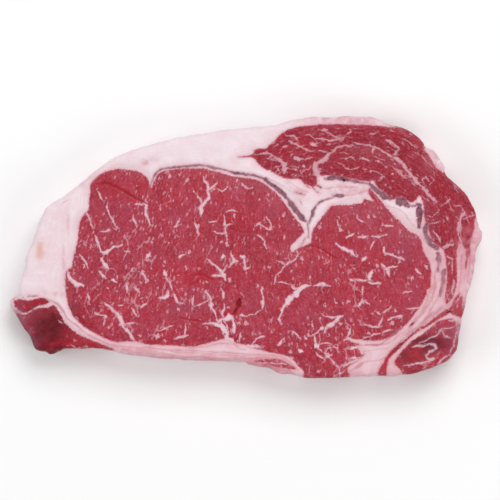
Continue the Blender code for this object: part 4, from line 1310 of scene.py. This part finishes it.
def skins_over(nodes, at, colour):
    """The silverskin, the wet film with its painted highlight, the membrane, which is partly a painted
    highlight, and the pits with painted shade, over lean and fat.
    """
    thin_skin = nodes.ramp(nodes.split(at["silver"])[2], 0.75, 0.30)
    silver = nodes.times(at["skin"], nodes.slope(thin_skin, -0.40, 0.95))
    at["silverskin"] = nodes.times(silver, nodes.slope(at["flush"], -0.55, 1.0, clamp=True))
    skin = nodes.blend(SILVER_DEEP, SILVER_PALE, nodes.ramp(at["skin_lumps"], 0.40, 0.70))
    colour = nodes.tint(colour, FAT_LINE, nodes.ramp(at["silver_depth"], -0.9, 0.0), 0.4)
    colour = nodes.blend(colour, skin, at["silverskin"])
    above_rim = nodes.less(1.0, at["rim"])
    # Pale pink halo round the film curls: the painted highlight fading out at its edge
    painted_highlight_halo = nodes.times(nodes.ramp(at["film_depth"], -1.4, 0.2), above_rim)
    colour = nodes.tint(colour, LEAN_PALE, painted_highlight_halo, 0.16)
    # Pale film on the corner muscle: its own whitish colour and a painted highlight of its wet shine
    colour = nodes.tint(colour, FILM_PALE_AND_HIGHLIGHT, nodes.times(at["wet_film_and_highlight"], above_rim), 0.66)
    # Membrane at the tail's rim and by the corner muscle: its own mauve and a painted highlight of its wet
    # edge
    colour = stained(nodes, at, colour, SKIN_STAINS_AND_HIGHLIGHT)
    # Holes in the fat painted near black: painted shade inside them
    return nodes.blend(colour, PIT_PAINTED_SHADE, nodes.ramp(at["pit_depth"], -0.15, 0.25))


def surface_height(nodes, at):
    """Height of the bumps: grain of the lean, strands and flecks, and layers of the fat."""
    grain = nodes.slope(at["speckle"], SPECKLE_BUMP, nodes.times(at["streaks"], STREAK_BUMP))
    height = nodes.times(grain, nodes.slope(at["muscle"], 1.0 - GRAIN_IN_FAT, GRAIN_IN_FAT))
    at["fat_layers"] = nodes.times(at["layer_lines"], at["fat_share"])
    for name, added in BUMPS_ADDED.items():
        height = nodes.slope(at[name], added, height)
    return height


def meat_material():
    """Lean, fat, silverskin and wet film, each where the piece's vertex values put it, with a painted
    highlight on the film and the membrane and painted shade in the pits.
    """
    material = bpy.data.materials.new("meat")
    material.use_nodes = True
    nodes = Wiring(material.node_tree)
    shader = material.node_tree.nodes["Principled BSDF"]
    at = read_surface(nodes)

    lean = marbling(nodes, at, lean_colour(nodes, at))
    at["fat_share"] = nodes.less(1.0, at["muscle"])
    fringed = nodes.slope(at["fringe"], 0.38, nodes.times(at["muscle"], 0.62))
    colour = nodes.blend(fat_colour(nodes, at), lean, fringed)
    colour = stained(nodes, at, colour, EDGE_STAINS)
    colour = skins_over(nodes, at, colour)
    hazed = nodes.tint(colour, RIM_FILM, nodes.ramp(at["side_film"], 0.45, 0.72), 0.30)
    colour = nodes.blend(colour, hazed, at["rim"])

    roughness = ROUGHNESS
    for name, added in ROUGHNESS_ADDED.items():
        roughness = nodes.slope(at[name], added, roughness)
    roughness = nodes.slope(nodes.less(at["speckle"], 0.5), SPECKLE_ROUGHNESS, roughness)
    inputs = {"Height": surface_height(nodes, at), "Strength": BUMP_STRENGTH, "Distance": MM}
    bump = nodes.add("ShaderNodeBump", inputs)

    links = material.node_tree.links
    links.new(colour, shader.inputs["Base Color"])
    links.new(roughness, shader.inputs["Roughness"])
    links.new(bump.outputs["Normal"], shader.inputs["Normal"])
    shader.inputs["Specular IOR Level"].default_value = SPECULAR
    shader.inputs["Subsurface Weight"].default_value = SUBSURFACE
    shader.inputs["Subsurface Radius"].default_value = SUBSURFACE_RADIUS
    shader.inputs["Subsurface Scale"].default_value = SUBSURFACE_DEPTH * MM
    return material


def floor_material():
    """One matt pale grey."""
    material = bpy.data.materials.new("floor")
    material.use_nodes = True
    shader = material.node_tree.nodes["Principled BSDF"]
    shader.inputs["Base Color"].default_value = FLOOR_GREY
    shader.inputs["Roughness"].default_value = FLOOR_ROUGHNESS
    return material


def build_floor():
    """A wide pale floor under the steak."""
    half = FLOOR_HALF
    corners = [(-half, -half, 0.0), (half, -half, 0.0), (half, half, 0.0), (-half, half, 0.0)]
    mesh = bpy.data.meshes.new("floor")
    mesh.from_pydata(corners, [], [(0, 1, 2, 3)])
    mesh.materials.append(floor_material())
    floor = bpy.data.objects.new("floor", mesh)
    bpy.context.scene.collection.objects.link(floor)
    return floor


def add_light(name, place, power):
    """A large soft square light that looks at the steak."""
    light = bpy.data.lights.new(name, "AREA")
    light.shape = "SQUARE"
    light.size = LIGHT_SIZE
    light.energy = power
    lamp = bpy.data.objects.new(name, light)
    lamp.location = place
    lamp.rotation_euler = (Vector(LIGHT_TARGET) - lamp.location).to_track_quat("-Z", "Y").to_euler()
    bpy.context.scene.collection.objects.link(lamp)


def build_studio():
    """Soft light from above and a little more from the fat cap's side, and a pale sky."""
    for name, (place, power) in LIGHTS.items():
        add_light(name, place, power)
    world = bpy.data.worlds.new("studio")
    world.use_nodes = True
    world.node_tree.nodes["Background"].inputs["Color"].default_value = (1.0, 1.0, 1.0, 1.0)
    world.node_tree.nodes["Background"].inputs["Strength"].default_value = SKY_STRENGTH
    bpy.context.scene.world = world
    bpy.context.scene.view_settings.view_transform = "Standard"


def build_camera():
    """A camera straight above that frames the photograph's view."""
    data = bpy.data.cameras.new("camera")
    data.sensor_width = SENSOR
    data.lens = SENSOR * CAMERA_HEIGHT / (FRAME_WIDTH * MM)
    data.clip_start = NEAREST_SEEN
    camera = bpy.data.objects.new("camera", data)
    camera.location = (FRAME_CENTRE[0] * MM, FRAME_CENTRE[1] * MM, CAMERA_HEIGHT + THICKNESS * MM)
    bpy.context.scene.collection.objects.link(camera)
    bpy.context.scene.camera = camera


steak = steak_piece()
steak.data.materials.append(meat_material())
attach(steak, "root")
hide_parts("steak")
build_floor()
build_studio()
build_camera()
